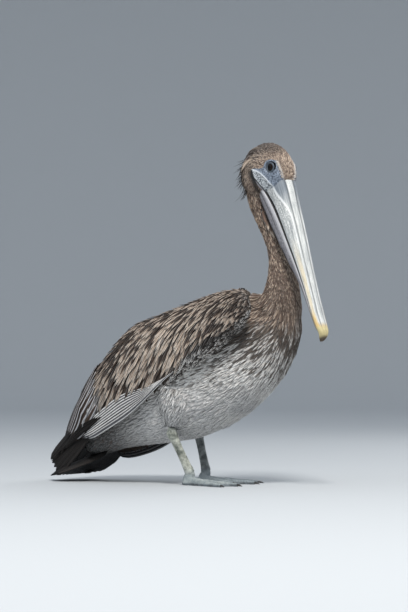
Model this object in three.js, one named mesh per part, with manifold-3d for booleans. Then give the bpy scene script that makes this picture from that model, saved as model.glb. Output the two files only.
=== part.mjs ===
// Brown pelican, immature, standing at rest with its bill laid against the front of the neck.
// Millimetres.  +Z is up, the bird faces -Y, and +X is the bird's own left.
// The origin is on the ground under the middle of the bird's bounding box.
// Sizes below are measured from a point on the ground between the two feet, as (side, forward, up):
// side is +X and forward is -Y.  The last step moves the whole bird onto its origin.

import * as THREE from 'three';
import { mergeVertices } from 'three/addons/utils/BufferGeometryUtils.js';
import Module from 'manifold-3d';

const wasm = await Module();
wasm.setup();

// ---------------------------------------------------------------- driving sizes

const GAP = 0.32;                 // clearance between neighbouring solids
const BODY_SIDES = 24;            // facets around trunk and neck
const HEAD_SIDES = 22;
const SECTION_POWER = 2.25;       // 2 is an ellipse, higher is fuller
const BODY_SKEW = 0.1;            // the trunk is widest above its middle

const HEAD_TURN = THREE.MathUtils.degToRad(15);   // head turned to the bird's right
const HEAD_PIVOT_FORWARD = 130;

const BILL_PITCH = THREE.MathUtils.degToRad(71.3);
const BILL_ROOT = [72, 534];      // culmen base, (forward of the head pivot, up)
const BILL_SIDES = 14;

const EYE_RADIUS = 8.2;
const EYE_FORWARD = 53.5;
const EYE_UP = 559;
const EYE_SIDE = 22.3;

const TARSUS_WIDTH = 12;
const TARSUS_DEPTH = 20;
const TOE_HEIGHT = 11;
const WEB_THICKNESS = 2.4;
const CLAW_LENGTH = 11;

const RECTRIX_COUNT = 9;
const RECTRIX_WIDTH = 29;
const RECTRIX_THICKNESS = 2.2;
const PRIMARY_COUNT = 4;
const PRIMARY_THICKNESS = 3.2;
const PRIMARY_WIDTH = 24;

// Rib tables: back (forward, up), belly (forward, up), half width, shift to the left.
const TRUNK_RIBS = [
  [-238, 84, -243, 50, 25, 0],
  [-207, 136, -206, 47, 42, 0],
  [-171, 189, -163, 58, 58, 0],
  [-130, 240, -114, 65, 71, 0],
  [-82, 277, -60, 70, 80, 0],
  [-31, 302, 0, 79, 85, 0],
  [22, 319, 54, 98, 87, 0],
  [66, 327, 98, 123, 85, 0],
  [97, 330, 136, 153, 80, 0],
  [115, 329, 168, 187, 72, 0],
  [128, 330, 191, 225, 63, 0],
  [139, 338, 205, 264, 52, 0],
  [146, 354, 208, 302, 41, 0],
];
const NECK_RIBS = [
  [146, 354, 208, 302, 41, 0],
  [149, 374, 206, 338, 33, 2],
  [148, 397, 199, 370, 28, 5],
  [142, 421, 189, 401, 25, 7],
  [130, 446, 177, 432, 23.5, 8],
  [118, 470, 165, 462, 23, 6],
  [108, 494, 154, 492, 23.5, 3],
  [102, 520, 150, 520, 24.5, 0],
  [102, 540, 148, 540, 20, 0],
];
// Head ribs: forward is measured from the head pivot along the turned head.
const HEAD_RIBS = [
  [-28, 570, -31, 550, 11],
  [-20, 588, -31, 532, 23],
  [-5, 601, -26, 516, 29],
  [12, 608, -12, 506, 32.5],
  [30, 608, 6, 502, 33.5],
  [47, 601, 22, 503, 33],
  [61, 589, 35, 507, 31.5],
  [70, 573, 44, 512, 29.5],
  [75, 555, 50, 516, 26.5],
  [74.5, 539, 55, 519, 21],
];
// Upper bill: distance from the culmen base, ridge, cutting edge (both above the axis), half width.
const UPPER_BILL = [
  [-1, 3, -37, 23.5],
  [14, 3, -33, 22.6],
  [32, 2.5, -28, 21.6],
  [60, 2.2, -23, 20.4],
  [90, 2, -19.5, 19.4],
  [130, 1, -15.4, 17.6],
  [180, 0, -11.6, 15.2],
  [215, -0.4, -9.8, 14.4],
  [250, 0, -8.4, 14],
  [268, 1.5, -7.6, 12.4],
  [280, 1.5, -8, 9],
  [288, -3, -13, 5.5],
  [291, -8, -15.5, 2.6],
];
// Lower bill and throat pouch: distance, upper edge, keel, half width.
const LOWER_BILL = [
  [-26, -50, -82, 27],
  [-8, -41, -75, 25.5],
  [12, -34.2, -71, 23],
  [32, -28.6, -67.5, 21.5],
  [60, -23.6, -61, 20],
  [90, -20, -54, 18.6],
  [130, -15.9, -43.5, 16.6],
  [180, -12.2, -30, 14],
  [215, -10.4, -22.6, 13],
  [250, -9, -17.6, 12],
  [268, -8.3, -15.8, 9],
  [276, -8.6, -14, 5],
];

// Folded wing, from the wrist back: top edge (side, forward, up), lower edge (same), and how far
// the feathers of the back reach in toward the mid line (share of the top edge's side).
const WING_RIBS = [
  [[79, 154, 339], [84, 164, 319], 0.93],
  [[71, 132, 347], [91, 163, 295], 0.93],
  [[58, 82, 343], [95, 137, 266], 0.8],
  [[51, 35, 332], [97, 96, 236], 0.6],
  [[47, -6, 320], [96, 50, 209], 0.42],
  [[45, -58, 304], [93, 0, 183], 0.3],
  [[44, -108, 288], [87, -48, 150], 0.24],
  [[43, -138, 267], [80, -88, 129], 0.2],
  [[43, -170, 235], [74, -123, 112], 0.2],
  [[43, -198, 200], [66, -157, 97], 0.2],
  [[42, -220, 164], [58, -189, 84], 0.22],
  [[40, -243, 124], [51, -216, 79], 0.26],
  [[37, -268, 72], [43, -257, 64], 0.5],
];
const WING_BULGE = 22;
const WING_TOP_THICKNESS = 17;
const WING_EDGE_THICKNESS = 6;
const WING_END_FULLNESS = 0.5;      // share of the full thickness kept at the rear point
const CREST_DROP = 4;             // fall from the top edge to the mid line
const LEFT_WING_DROOP = 44;       // the left wing hangs lower behind the elbow
const LEFT_WING_SETBACK = 14;     // and sits a little further back
const LEFT_WING_LOWER = 7;        // and lower

// ---------------------------------------------------------------- helpers

const at = (side, forward, up) => new THREE.Vector3(side, -forward, up);
const mix = (a, b, t) => a + (b - a) * t;

function geometryFrom(points, triangles) {
  const geometry = new THREE.BufferGeometry();
  const numbers = points.flatMap((p) => [p.x, p.y, p.z]);
  geometry.setAttribute('position', new THREE.Float32BufferAttribute(numbers, 3));
  geometry.setIndex(triangles.flat());
  return faceOut(geometry);
}

// Reverses every triangle when the enclosed volume comes out negative.
function faceOut(geometry) {
  const position = geometry.attributes.position;
  const index = geometry.index.array;
  const a = new THREE.Vector3();
  const b = new THREE.Vector3();
  const c = new THREE.Vector3();
  let volume = 0;
  for (let i = 0; i < index.length; i += 3) {
    a.fromBufferAttribute(position, index[i]);
    b.fromBufferAttribute(position, index[i + 1]);
    c.fromBufferAttribute(position, index[i + 2]);
    volume += a.dot(b.cross(c));
  }
  if (volume < 0) {
    for (let i = 0; i < index.length; i += 3) {
      [index[i + 1], index[i + 2]] = [index[i + 2], index[i + 1]];
    }
  }
  return geometry;
}

// Skins a closed tube over rings of equal length and closes both ends.
function loft(rings) {
  const sides = rings[0].length;
  const points = rings.flat();
  const triangles = [];
  for (let r = 0; r < rings.length - 1; r++) {
    for (let k = 0; k < sides; k++) {
      const a = r * sides + k;
      const b = r * sides + (k + 1) % sides;
      triangles.push([a, b, b + sides], [a, b + sides, a + sides]);
    }
  }
  for (const [start, reverse] of [[0, true], [(rings.length - 1) * sides, false]]) {
    const centre = new THREE.Vector3();
    for (let k = 0; k < sides; k++) centre.addScaledVector(points[start + k], 1 / sides);
    const hub = points.push(centre) - 1;
    for (let k = 0; k < sides; k++) {
      const a = start + k;
      const b = start + (k + 1) % sides;
      triangles.push(reverse ? [hub, b, a] : [hub, a, b]);
    }
  }
  return geometryFrom(points, triangles);
}

// A full, slightly square oval between a top and a bottom point.
function oval(top, bottom, lateral, halfWidth, sides, power = SECTION_POWER, skew = 0) {
  const ring = [];
  const soften = (v) => Math.sign(v) * Math.abs(v) ** (2 / power);
  for (let k = 0; k < sides; k++) {
    const angle = (2 * Math.PI * k) / sides;
    const across = soften(Math.cos(angle)) * halfWidth;
    const along = soften(Math.sin(angle));
    const t = 0.5 + 0.5 * along + skew * (1 - along * along);
    ring.push(bottom.clone().lerp(top, t).addScaledVector(lateral, across));
  }
  return ring;
}

const toSolid = (geometry) => {
  const bare = geometry.clone();
  bare.deleteAttribute('normal');
  bare.deleteAttribute('uv');
  const merged = mergeVertices(bare, 1e-4);
  return new wasm.Manifold(new wasm.Mesh({
    numProp: 3,
    vertProperties: new Float32Array(merged.attributes.position.array),
    triVerts: new Uint32Array(merged.index.array),
  }));
};

function toGeometry(solid) {
  const mesh = solid.getMesh();
  const geometry = new THREE.BufferGeometry();
  geometry.setAttribute('position', new THREE.BufferAttribute(new Float32Array(mesh.vertProperties), 3));
  geometry.setIndex(new THREE.BufferAttribute(new Uint32Array(mesh.triVerts), 1));
  return geometry;
}

// Keeps only the largest separate piece after a cut.
function largest(solid) {
  let best = null;
  for (const piece of solid.decompose()) {
    if (best === null || piece.volume() > best.volume()) best = piece;
  }
  return best;
}

const union = (solids) => solids.reduce((whole, next) => whole.add(next));
const cut = (solid, tools) => largest(tools.reduce((rest, tool) => rest.subtract(tool), solid));

const model = new THREE.Group();
model.name = 'brown_pelican';

const MATERIALS = {
  headPlumage: { color: 0x8a7a6d, roughness: 0.9, metalness: 0 },
  neckPlumage: { color: 0x857466, roughness: 0.9, metalness: 0 },
  bodyPlumage: { color: 0xb5b0a8, roughness: 0.9, metalness: 0 },
  wingPlumage: { color: 0x6f6258, roughness: 0.85, metalness: 0 },
  flightFeather: { color: 0x25221f, roughness: 0.6, metalness: 0 },
  bill: { color: 0xc9c6b4, roughness: 0.45, metalness: 0 },
  pouch: { color: 0x77707a, roughness: 0.55, metalness: 0 },
  eye: { color: 0x14100d, roughness: 0.08, metalness: 0 },
  legSkin: { color: 0x9b9a8c, roughness: 0.6, metalness: 0 },
  footSkin: { color: 0x7d8282, roughness: 0.6, metalness: 0 },
};

function addPiece(name, solid, material) {
  const mesh = new THREE.Mesh(toGeometry(solid), new THREE.MeshStandardMaterial(MATERIALS[material]));
  mesh.name = name;
  model.add(mesh);
}

// ---------------------------------------------------------------- trunk and neck

// Ribs turn toward the head's own heading over the upper neck.
function spineLoft(table, grow, turnFrom = Infinity, turnTo = Infinity, trim = [0, 0]) {
  const rings = table.map(([bf, bz, vf, vz, half, shift]) => {
    const depth = Math.hypot(bf - vf, bz - vz);
    const uf = ((bf - vf) / depth) * grow;
    const uz = ((bz - vz) / depth) * grow;
    const t = THREE.MathUtils.smoothstep((bz + vz) / 2, turnFrom, turnTo);
    const turn = HEAD_TURN * t;
    const place = (forward, up) => {
      const reach = forward - HEAD_PIVOT_FORWARD;
      return at(shift - Math.sin(turn) * reach, HEAD_PIVOT_FORWARD + Math.cos(turn) * reach, up);
    };
    const lateral = new THREE.Vector3(Math.cos(turn), -Math.sin(turn), 0);
    return oval(
      place(bf + uf, bz + uz), place(vf - uf, vz - uz),
      lateral, half + grow, BODY_SIDES, SECTION_POWER, BODY_SKEW * THREE.MathUtils.smoothstep(half, 40, 85),
    );
  });
  const ends = [[0, 1, trim[0]], [rings.length - 1, rings.length - 2, trim[1]]];
  for (const [end, next, distance] of ends) {
    const ring = rings[end];
    const quarter = BODY_SIDES / 4;
    const { normal } = new THREE.Plane().setFromCoplanarPoints(ring[0], ring[quarter], ring[2 * quarter]);
    const inward = rings[next][0].clone().sub(ring[0]).dot(normal) > 0 ? 1 : -1;
    ring.forEach((point) => point.addScaledVector(normal, inward * distance));
  }
  return toSolid(loft(rings));
}

const NECK_TURN_FROM = 440;
const NECK_TURN_TO = 525;
const trunk = spineLoft(TRUNK_RIBS, 0);
const trunkRoom = spineLoft(TRUNK_RIBS, GAP, Infinity, Infinity, [-GAP, 0]);
const neckWhole = spineLoft(NECK_RIBS, 0, NECK_TURN_FROM, NECK_TURN_TO, [GAP, 0]);

// ---------------------------------------------------------------- head

const headPoint = (side, forward, up) => at(
  Math.cos(HEAD_TURN) * side - Math.sin(HEAD_TURN) * forward,
  HEAD_PIVOT_FORWARD + Math.cos(HEAD_TURN) * forward + Math.sin(HEAD_TURN) * side,
  up,
);
const headLateral = headPoint(1, 0, 0).sub(headPoint(0, 0, 0));

function headLoft(grow) {
  const rings = HEAD_RIBS.map(([bf, bz, vf, vz, half], index, all) => {
    const depth = Math.hypot(bf - vf, bz - vz);
    const uf = ((bf - vf) / depth) * grow;
    const uz = ((bz - vz) / depth) * grow;
    const end = index === 0 ? -grow : index === all.length - 1 ? grow : 0;
    const ahead = end * (bz - vz) / depth;
    const under = -end * (bf - vf) / depth;
    return oval(
      headPoint(0, bf + uf + ahead, bz + uz + under),
      headPoint(0, vf - uf + ahead, vz - uz + under),
      headLateral, half + grow, HEAD_SIDES, 2.2, -0.03,
    );
  });
  return toSolid(loft(rings));
}

// Eyeballs sit in sockets in the sides of the face.
function eyeball(side, grow) {
  const geometry = new THREE.SphereGeometry(EYE_RADIUS + grow, 12, 8);
  geometry.translate(...headPoint(side * EYE_SIDE, EYE_FORWARD, EYE_UP).toArray());
  return toSolid(geometry);
}

const headWhole = headLoft(0);
const headRoom = headLoft(GAP);

// ---------------------------------------------------------------- bill and pouch

const billDirection = [Math.cos(BILL_PITCH), -Math.sin(BILL_PITCH)];
const billUp = [Math.sin(BILL_PITCH), Math.cos(BILL_PITCH)];
const billPoint = (side, along, above) => headPoint(
  side,
  BILL_ROOT[0] + billDirection[0] * along + billUp[0] * above,
  BILL_ROOT[1] + billDirection[1] * along + billUp[1] * above,
);

// Upper bill section: a raised ridge, a groove on each side, a rounded shoulder, straight flanks.
function upperBillRing(along, ridge, edge, half, grow) {
  const flank = Math.min(ridge - edge, 7 + 0.55 * (ridge - edge));
  const outline = [
    [0, ridge],
    [0.2, ridge - 0.4],
    [0.36, ridge - 1.9],
    [0.62, ridge - 2.1],
    [0.86, ridge - 0.32 * flank],
    [0.98, ridge - 0.62 * flank],
    [1, edge + 1.2],
    [0.93, edge],
    [0.45, edge + 1.5],
  ];
  const ring = [];
  const middle = (ridge + edge) / 2;
  const push = (across, above) => {
    const out = above > middle ? grow : -grow;
    ring.push(billPoint(across * half + Math.sign(across) * grow, along, above + out));
  };
  outline.forEach(([across, above]) => push(across, above));
  push(0, edge + 1.8);
  outline.slice(1).reverse().forEach(([across, above]) => push(-across, above));
  return ring;
}

const upperBill = (grow) => toSolid(loft(UPPER_BILL.map(([along, ridge, edge, half], index, all) => {
  const end = index === 0 ? -grow : index === all.length - 1 ? grow : 0;
  return upperBillRing(along + end, ridge, edge, half, grow);
})));

// The pouch hangs as a soft keel between the two bars of the lower bill.
function pouchRing(along, top, keel, half, grow) {
  const ring = [];
  const depth = top - keel;
  for (let k = 0; k < BILL_SIDES; k++) {
    const angle = (2 * Math.PI * k) / BILL_SIDES;
    const up = Math.sin(angle);
    const narrow = up < 0 ? 1 - 0.34 * up * up : 1;
    const across = Math.sign(Math.cos(angle)) * Math.abs(Math.cos(angle)) ** 0.8 * narrow * half;
    const above = up > 0 ? top - 0.16 * depth * (1 - up ** 0.7) : top - 0.16 * depth + 0.84 * depth * up;
    ring.push(billPoint(across * (1 + grow / half), along, above + Math.sign(up) * grow));
  }
  return ring;
}
const lowerBill = (grow) => toSolid(loft(LOWER_BILL.map(([along, top, keel, half], index, all) => {
  const end = index === 0 ? -grow : index === all.length - 1 ? grow : 0;
  return pouchRing(along + end, top, keel, half, grow);
})));

const eyeRooms = [eyeball(-1, GAP), eyeball(1, GAP)];
const upperWhole = cut(upperBill(0), [headRoom]);
const lowerWhole = cut(lowerBill(0), [upperBill(GAP), headRoom]);
const head = cut(headWhole, eyeRooms);
const neck = cut(neckWhole, [headRoom, lowerBill(GAP)]);

addPiece('trunk', trunk, 'bodyPlumage');
addPiece('neck', neck, 'neckPlumage');
addPiece('head', head, 'headPlumage');
addPiece('eye_r', eyeball(-1, 0), 'eye');
addPiece('eye_l', eyeball(1, 0), 'eye');
addPiece('bill_upper', upperWhole, 'bill');
addPiece('bill_lower_pouch', lowerWhole, 'pouch');

// ---------------------------------------------------------------- legs and feet

// Per leg: thigh top, knee, heel and foot joints as (side, forward, up); the toes turn out in degrees.
const LEGS = {
  r: {
    side: -1,
    toeOut: -4,
    thigh: [58, -4, 178],
    knee: [58, -14, 124],
    heel: [56, -22, 93],
    foot: [36, 5, 21],
  },
  l: {
    side: 1,
    toeOut: 5,
    thigh: [58, -14, 178],
    knee: [58, -28, 122],
    heel: [55, -37, 90],
    foot: [36, -8, 21],
  },
};
// Toes: length without claw, angle outward from straight ahead, width at the root.
const TOES = [
  { length: 99, angle: 25, width: 9.5 },
  { length: 102, angle: 2, width: 10 },
  { length: 74, angle: -17, width: 9 },
];
const HIND_TOE = { length: 27, angle: -126, width: 7.5 };
const KNUCKLES = [0.42, 0.74];     // where the toe joints swell, as shares of the toe
const KNUCKLE_SWELL = 0.16;
const KNUCKLE_SPREAD = 0.05;
const SOLE_UP = 0;
const FOOT_TOP = 24;
const ANKLE_UP = 19;              // level of the joint between shank and foot
const SLAB = 60;

// A round limb through stations of centre, half width across and half depth along the walk.
function limb(stations, sides, grow = 0) {
  const centres = stations.map(([p]) => p);
  const rings = stations.map(([centre, across, deep], i) => {
    const next = centres[Math.min(i + 1, centres.length - 1)];
    const last = centres[Math.max(i - 1, 0)];
    const axis = next.clone().sub(last).normalize();
    const sideways = new THREE.Vector3(1, 0, 0).addScaledVector(axis, -axis.x).normalize();
    const ahead = new THREE.Vector3().crossVectors(axis, sideways);
    const ring = [];
    for (let k = 0; k < sides; k++) {
      const angle = (2 * Math.PI * k) / sides;
      ring.push(centre.clone()
        .addScaledVector(sideways, Math.cos(angle) * (across + grow))
        .addScaledVector(ahead, Math.sin(angle) * (deep + grow)));
    }
    return ring;
  });
  return toSolid(loft(rings));
}

function thighSolid(leg, grow) {
  const put = ([s, f, u]) => at(leg.side * s, f, u);
  const top = put(leg.thigh);
  const knee = put(leg.knee);
  const heel = put(leg.heel);
  return limb([
    [top, 31, 40],
    [top.clone().lerp(knee, 0.5), 33, 37],
    [top.clone().lerp(knee, 0.85), 28, 30],
    [knee.clone().lerp(heel, 0.25), 18, 20],
    [knee.clone().lerp(heel, 0.55), 9.5, 12],
    [knee.clone().lerp(heel, 0.68), 7.5, 9.5],
  ], 16, grow);
}

function shankSolid(leg) {
  const put = ([s, f, u]) => at(leg.side * s, f, u);
  const knee = put(leg.knee);
  const heel = put(leg.heel);
  const foot = put(leg.foot);
  const shaft = (t) => heel.clone().lerp(foot, t);
  const w = TARSUS_WIDTH / 2;
  const d = TARSUS_DEPTH / 2;
  return limb([
    [knee.clone().lerp(heel, 0.695), w, d * 0.78],
    [knee.clone().lerp(heel, 0.85), w * 1.1, d * 0.85],
    [heel, w * 1.35, d * 1.05],
    [shaft(0.07), w * 1.3, d * 1.02],
    [shaft(0.16), w * 1.02, d * 0.86],
    [shaft(0.45), w * 0.9, d * 0.8],
    [shaft(0.78), w * 0.98, d * 0.85],
    [shaft(0.93), w * 1.25, d * 0.95],
    [shaft(0.985), w * 1.3, d * 0.95],
  ], 14);
}

// A toe lies on a flat sole: three bones with swollen joints and a short hooked claw.
function toeSolid(root, heading, toe, side) {
  const direction = new THREE.Vector3(side * Math.sin(heading), -Math.cos(heading), 0);
  const sideways = new THREE.Vector3(direction.y, -direction.x, 0);
  const total = toe.length + CLAW_LENGTH;
  const clawStart = toe.length / total;
  const stations = [0, 0.32, 0.42, 0.52, 0.68, 0.75, 0.81, clawStart - 0.01, clawStart + 0.02, 1];
  const knuckle = (t, where) => Math.exp(-(((t - where) / KNUCKLE_SPREAD) ** 2));
  const rings = stations.map((t) => {
    const claw = t > clawStart;
    const swell = claw ? 0 : KNUCKLE_SWELL * (knuckle(t, KNUCKLES[0]) + knuckle(t, KNUCKLES[1]));
    const taper = mix(1, 0.62, t) * (1 + swell);
    const clawFade = claw ? mix(0.62, 0.16, (t - clawStart) / (1 - clawStart)) : 1;
    const half = (toe.width / 2) * taper * clawFade;
    const height = TOE_HEIGHT * mix(1.45, 0.5, t ** 0.65) * (1 + 0.7 * swell) * (claw ? clawFade + 0.12 : 1);
    const centre = root.clone().addScaledVector(direction, total * t);
    const outline = [[-1, 0], [-1.06, 0.36], [-0.72, 0.8], [0, 1], [0.72, 0.8], [1.06, 0.36], [1, 0]];
    return outline.map(([across, up]) => centre.clone()
      .addScaledVector(sideways, across * half)
      .setZ(SOLE_UP + up * height));
  });
  return toSolid(loft(rings));
}

// The web's free edge sags inward between neighbouring toe tips.
function webSolid(root, tips) {
  const shape = new THREE.Shape();
  const flat = (v) => new THREE.Vector2(v.x, v.y);
  const base = flat(root);
  const outline = [];
  tips.forEach((tip, i) => {
    outline.push(flat(tip));
    const next = tips[i + 1];
    if (!next) return;
    for (const t of [0.2, 0.4, 0.6, 0.8]) {
      const edge = flat(tip).lerp(flat(next), t);
      outline.push(edge.lerp(base, 0.17 * Math.sin(Math.PI * t)));
    }
  });
  shape.setFromPoints([...outline, base]);
  const geometry = new THREE.ExtrudeGeometry(shape, { depth: WEB_THICKNESS, bevelEnabled: false, steps: 1 });
  geometry.translate(0, 0, SOLE_UP);
  return toSolid(geometry);
}

function footSolid(leg) {
  const [s, f] = leg.foot;
  const root = at(leg.side * s, f - 6, 0);
  const angle = (toe) => THREE.MathUtils.degToRad(toe.angle + leg.toeOut);
  const tip = (toe, share) => root.clone().add(new THREE.Vector3(
    leg.side * Math.sin(angle(toe)) * toe.length * share,
    -Math.cos(angle(toe)) * toe.length * share,
    0,
  ));
  const toes = [...TOES, HIND_TOE].map((toe) => toeSolid(root, angle(toe), toe, leg.side));
  const web = webSolid(root, [...TOES.map((toe) => tip(toe, 0.97)), tip(HIND_TOE, 0.95)]);
  const pad = limb([
    [root.clone().add(at(0, 1, 0)), TARSUS_WIDTH * 0.8, TARSUS_DEPTH * 0.62],
    [root.clone().add(at(0, 2, 8)), TARSUS_WIDTH * 0.75, TARSUS_DEPTH * 0.6],
    [root.clone().add(at(0, 5, FOOT_TOP - 3)), TARSUS_WIDTH * 0.62, TARSUS_DEPTH * 0.48],
  ], 14);
  return union([pad, web, ...toes]);
}

// A block that trims a leg piece between two levels.
function slab(leg, low, high) {
  const box = new THREE.BoxGeometry(SLAB * 5, SLAB * 5, high - low);
  box.translate(leg.side * leg.foot[0], -leg.foot[1], (low + high) / 2);
  return toSolid(box);
}

for (const [name, leg] of Object.entries(LEGS)) {
  const shank = shankSolid(leg);
  const below = slab(leg, ANKLE_UP - SLAB, ANKLE_UP);
  const above = slab(leg, ANKLE_UP - GAP, ANKLE_UP + SLAB);
  const ground = slab(leg, -SLAB, 0);
  addPiece(`thigh_${name}`, cut(thighSolid(leg, 0), [trunkRoom]), 'bodyPlumage');
  addPiece(`shank_${name}`, cut(shank, [below, trunkRoom, thighSolid(leg, GAP)]), 'legSkin');
  addPiece(`foot_${name}`, cut(footSolid(leg), [above, ground]), 'footSkin');
}

// ---------------------------------------------------------------- wings

const WING_SPAN_STEPS = 7;

// One closed section: from near the mid line over the shoulder edge and the flank, and back inside.
function wingRing([top, low, reach], side, shift, droop, grow) {
  const crest = top[2] - shift.lower;
  const fullness = THREE.MathUtils.clamp((top[2] - low[2]) / 40, WING_END_FULLNESS, 1);
  const depth = WING_TOP_THICKNESS * fullness;
  const outer = [at(side * (top[0] * reach - grow), top[1] - shift.back, crest - CREST_DROP + grow)];
  const inner = [at(side * (top[0] * reach - grow), top[1] - shift.back, crest - CREST_DROP - depth - grow)];
  for (let k = 0; k <= WING_SPAN_STEPS; k++) {
    const t = k / WING_SPAN_STEPS;
    const bulge = WING_BULGE * Math.sin(Math.PI * t) * Math.min(1, (top[2] - low[2]) / 70);
    const thick = mix(WING_TOP_THICKNESS, WING_EDGE_THICKNESS, t) * fullness;
    const across = mix(top[0], low[0], t) + bulge * 0.75;
    const up = mix(top[2], low[2], t) + bulge * 0.55 - droop * t - shift.lower;
    const forward = mix(top[1], low[1], t) - shift.back;
    const endGrow = (k === 0 ? grow : 0) - (k === WING_SPAN_STEPS ? grow : 0);
    outer.push(at(side * (across + grow), forward, up + endGrow));
    const edge = k === WING_SPAN_STEPS;
    const depthHere = edge ? 0 : thick;
    if (k > 0 && (!edge || grow > 0)) {
      inner.push(at(side * (across - depthHere - grow), forward, up - depthHere * 0.35 - grow));
    }
  }
  return [...outer, ...inner.reverse()];
}

// The droop starts behind rib 3 and is deepest half way along the rest of the wing.
const DROOP_START = 3.5;
const DROOP_SPAN = 9;
const droopAt = (station, amount) => {
  const share = THREE.MathUtils.clamp((station - DROOP_START) / DROOP_SPAN, 0, 1);
  return amount * Math.sin(Math.PI * share);
};

function wingSolid(side, shift, grow = 0) {
  const rings = WING_RIBS.map((rib, i) => wingRing(rib, side, shift, droopAt(i, shift.droop), grow));
  return toSolid(loft(rings));
}

// A long flat vane: rounded tip, slightly curved along its length.
const VANE_CURVE = 0.02;
function vane(root, tip, width, thickness, up, tipSquare = 0.55) {
  const axis = tip.clone().sub(root);
  const length = axis.length();
  axis.normalize();
  const across = new THREE.Vector3().crossVectors(axis, up).normalize();
  const normal = new THREE.Vector3().crossVectors(across, axis);
  const stations = [[0, 0.6], [0.6, 1], [0.88, 0.88], [0.97, tipSquare], [1, 0.2]];
  const rings = stations.map(([t, w]) => {
    const centre = root.clone()
      .addScaledVector(axis, t * length)
      .addScaledVector(normal, -VANE_CURVE * length * t * t);
    const half = (width / 2) * w;
    const thin = (thickness / 2) * mix(1, 0.55, t);
    return [[-1, -0.6], [1, -0.6], [1, 0.6], [0, 1.2], [-1, 0.6]].map(([a, n]) => centre.clone()
      .addScaledVector(across, a * half)
      .addScaledVector(normal, n * thin));
  });
  return toSolid(loft(rings));
}

// Primaries stack from the wing's lower rear edge and end together above the tail.
function primaries(side, grow = 0) {
  const blades = [];
  for (let i = 0; i < PRIMARY_COUNT; i++) {
    const t = i / (PRIMARY_COUNT - 1);
    const root = at(side * mix(42, 51, t), mix(-236, -203, t), mix(104, 89, t));
    const tip = at(side * mix(34, 46, t), mix(-309, -285, t), mix(40, 11, t));
    const faceUp = new THREE.Vector3(side, 0.1, 0.35);
    blades.push(vane(root, tip, PRIMARY_WIDTH + 2 * grow, PRIMARY_THICKNESS + 4 * grow, faceUp));
  }
  return union(blades);
}

const thighRooms = Object.values(LEGS).map((leg) => thighSolid(leg, GAP));
const WINGS = {
  r: { side: -1, shift: { back: 0, lower: 0, droop: 0 } },
  l: { side: 1, shift: { back: LEFT_WING_SETBACK, lower: LEFT_WING_LOWER, droop: LEFT_WING_DROOP } },
};
for (const [name, { side, shift }] of Object.entries(WINGS)) {
  const wing = cut(wingSolid(side, shift), [trunkRoom, ...thighRooms]);
  const wingRoom = wingSolid(side, shift, GAP);
  const quills = cut(primaries(side), [trunkRoom, wingRoom, wingRoom.translate([0, GAP, -GAP])]);
  addPiece(`wing_${name}`, wing, 'wingPlumage');
  addPiece(`primaries_${name}`, quills, 'flightFeather');
}

// ---------------------------------------------------------------- tail

// Rectrices fan out of the rump in a low arch and rest just clear of the ground.
const TAIL_SPREAD = 26;           // degrees to each side
const TAIL_LENGTH = 138;
const TAIL_SHORTENING = 34;       // how much shorter the outermost feathers are
const TAIL_ARCH = 0.9;            // how far the outermost feathers roll outward
const TAIL_CLEARANCE = 4.5;
function tailSolid() {
  const feathers = [];
  for (let i = 0; i < RECTRIX_COUNT; i++) {
    const t = (2 * i) / (RECTRIX_COUNT - 1) - 1;
    const spread = t * THREE.MathUtils.degToRad(TAIL_SPREAD);
    const length = TAIL_LENGTH - TAIL_SHORTENING * t * t;
    const root = at(t * 22, -190, 62 - 8 * t * t);
    const fall = THREE.MathUtils.degToRad(mix(22.5, 25, t * t));
    const tip = root.clone().add(at(
      Math.sin(spread) * Math.cos(fall) * length,
      -Math.cos(spread) * Math.cos(fall) * length,
      -Math.sin(fall) * length,
    ));
    tip.setZ(Math.max(tip.z, TAIL_CLEARANCE + 1.2 * (1 - Math.abs(t))) + 7 * t * t);
    const facing = new THREE.Vector3(t * TAIL_ARCH, 0, 1);
    feathers.push(vane(root, tip, RECTRIX_WIDTH, RECTRIX_THICKNESS, facing, 0.6));
  }
  return union(feathers);
}
addPiece('tail', cut(tailSolid(), [trunkRoom, primaries(-1, GAP), primaries(1, GAP)]), 'flightFeather');

// Centre the bird over its origin, with the soles on the ground.
const bounds = new THREE.Box3().setFromObject(model);
const middle = bounds.getCenter(new THREE.Vector3());
model.position.set(-middle.x, -middle.y, -bounds.min.z);

export default model;
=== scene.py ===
import math

import bmesh
import bpy
import numpy as np
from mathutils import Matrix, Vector
from mathutils.bvhtree import BVHTree


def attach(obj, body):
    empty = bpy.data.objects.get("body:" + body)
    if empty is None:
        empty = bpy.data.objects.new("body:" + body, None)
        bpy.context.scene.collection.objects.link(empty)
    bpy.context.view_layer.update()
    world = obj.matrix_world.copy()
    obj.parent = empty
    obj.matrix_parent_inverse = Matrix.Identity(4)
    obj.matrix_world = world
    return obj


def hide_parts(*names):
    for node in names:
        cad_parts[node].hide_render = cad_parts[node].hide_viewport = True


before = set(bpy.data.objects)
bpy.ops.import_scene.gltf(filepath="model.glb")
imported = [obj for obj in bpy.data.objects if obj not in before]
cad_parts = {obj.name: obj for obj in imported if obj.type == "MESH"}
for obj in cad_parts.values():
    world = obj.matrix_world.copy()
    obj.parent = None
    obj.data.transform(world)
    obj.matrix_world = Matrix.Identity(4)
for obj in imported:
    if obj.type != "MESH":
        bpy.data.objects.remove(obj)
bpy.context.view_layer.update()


# ---------------------------------------------------------------- legs and feet
# Bare legs and four webbed toes on each foot, in thin scaly skin over bone.
# Each is grown as one skin over the shank and foot, then rounded; the scales are relief in the finish.


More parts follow.
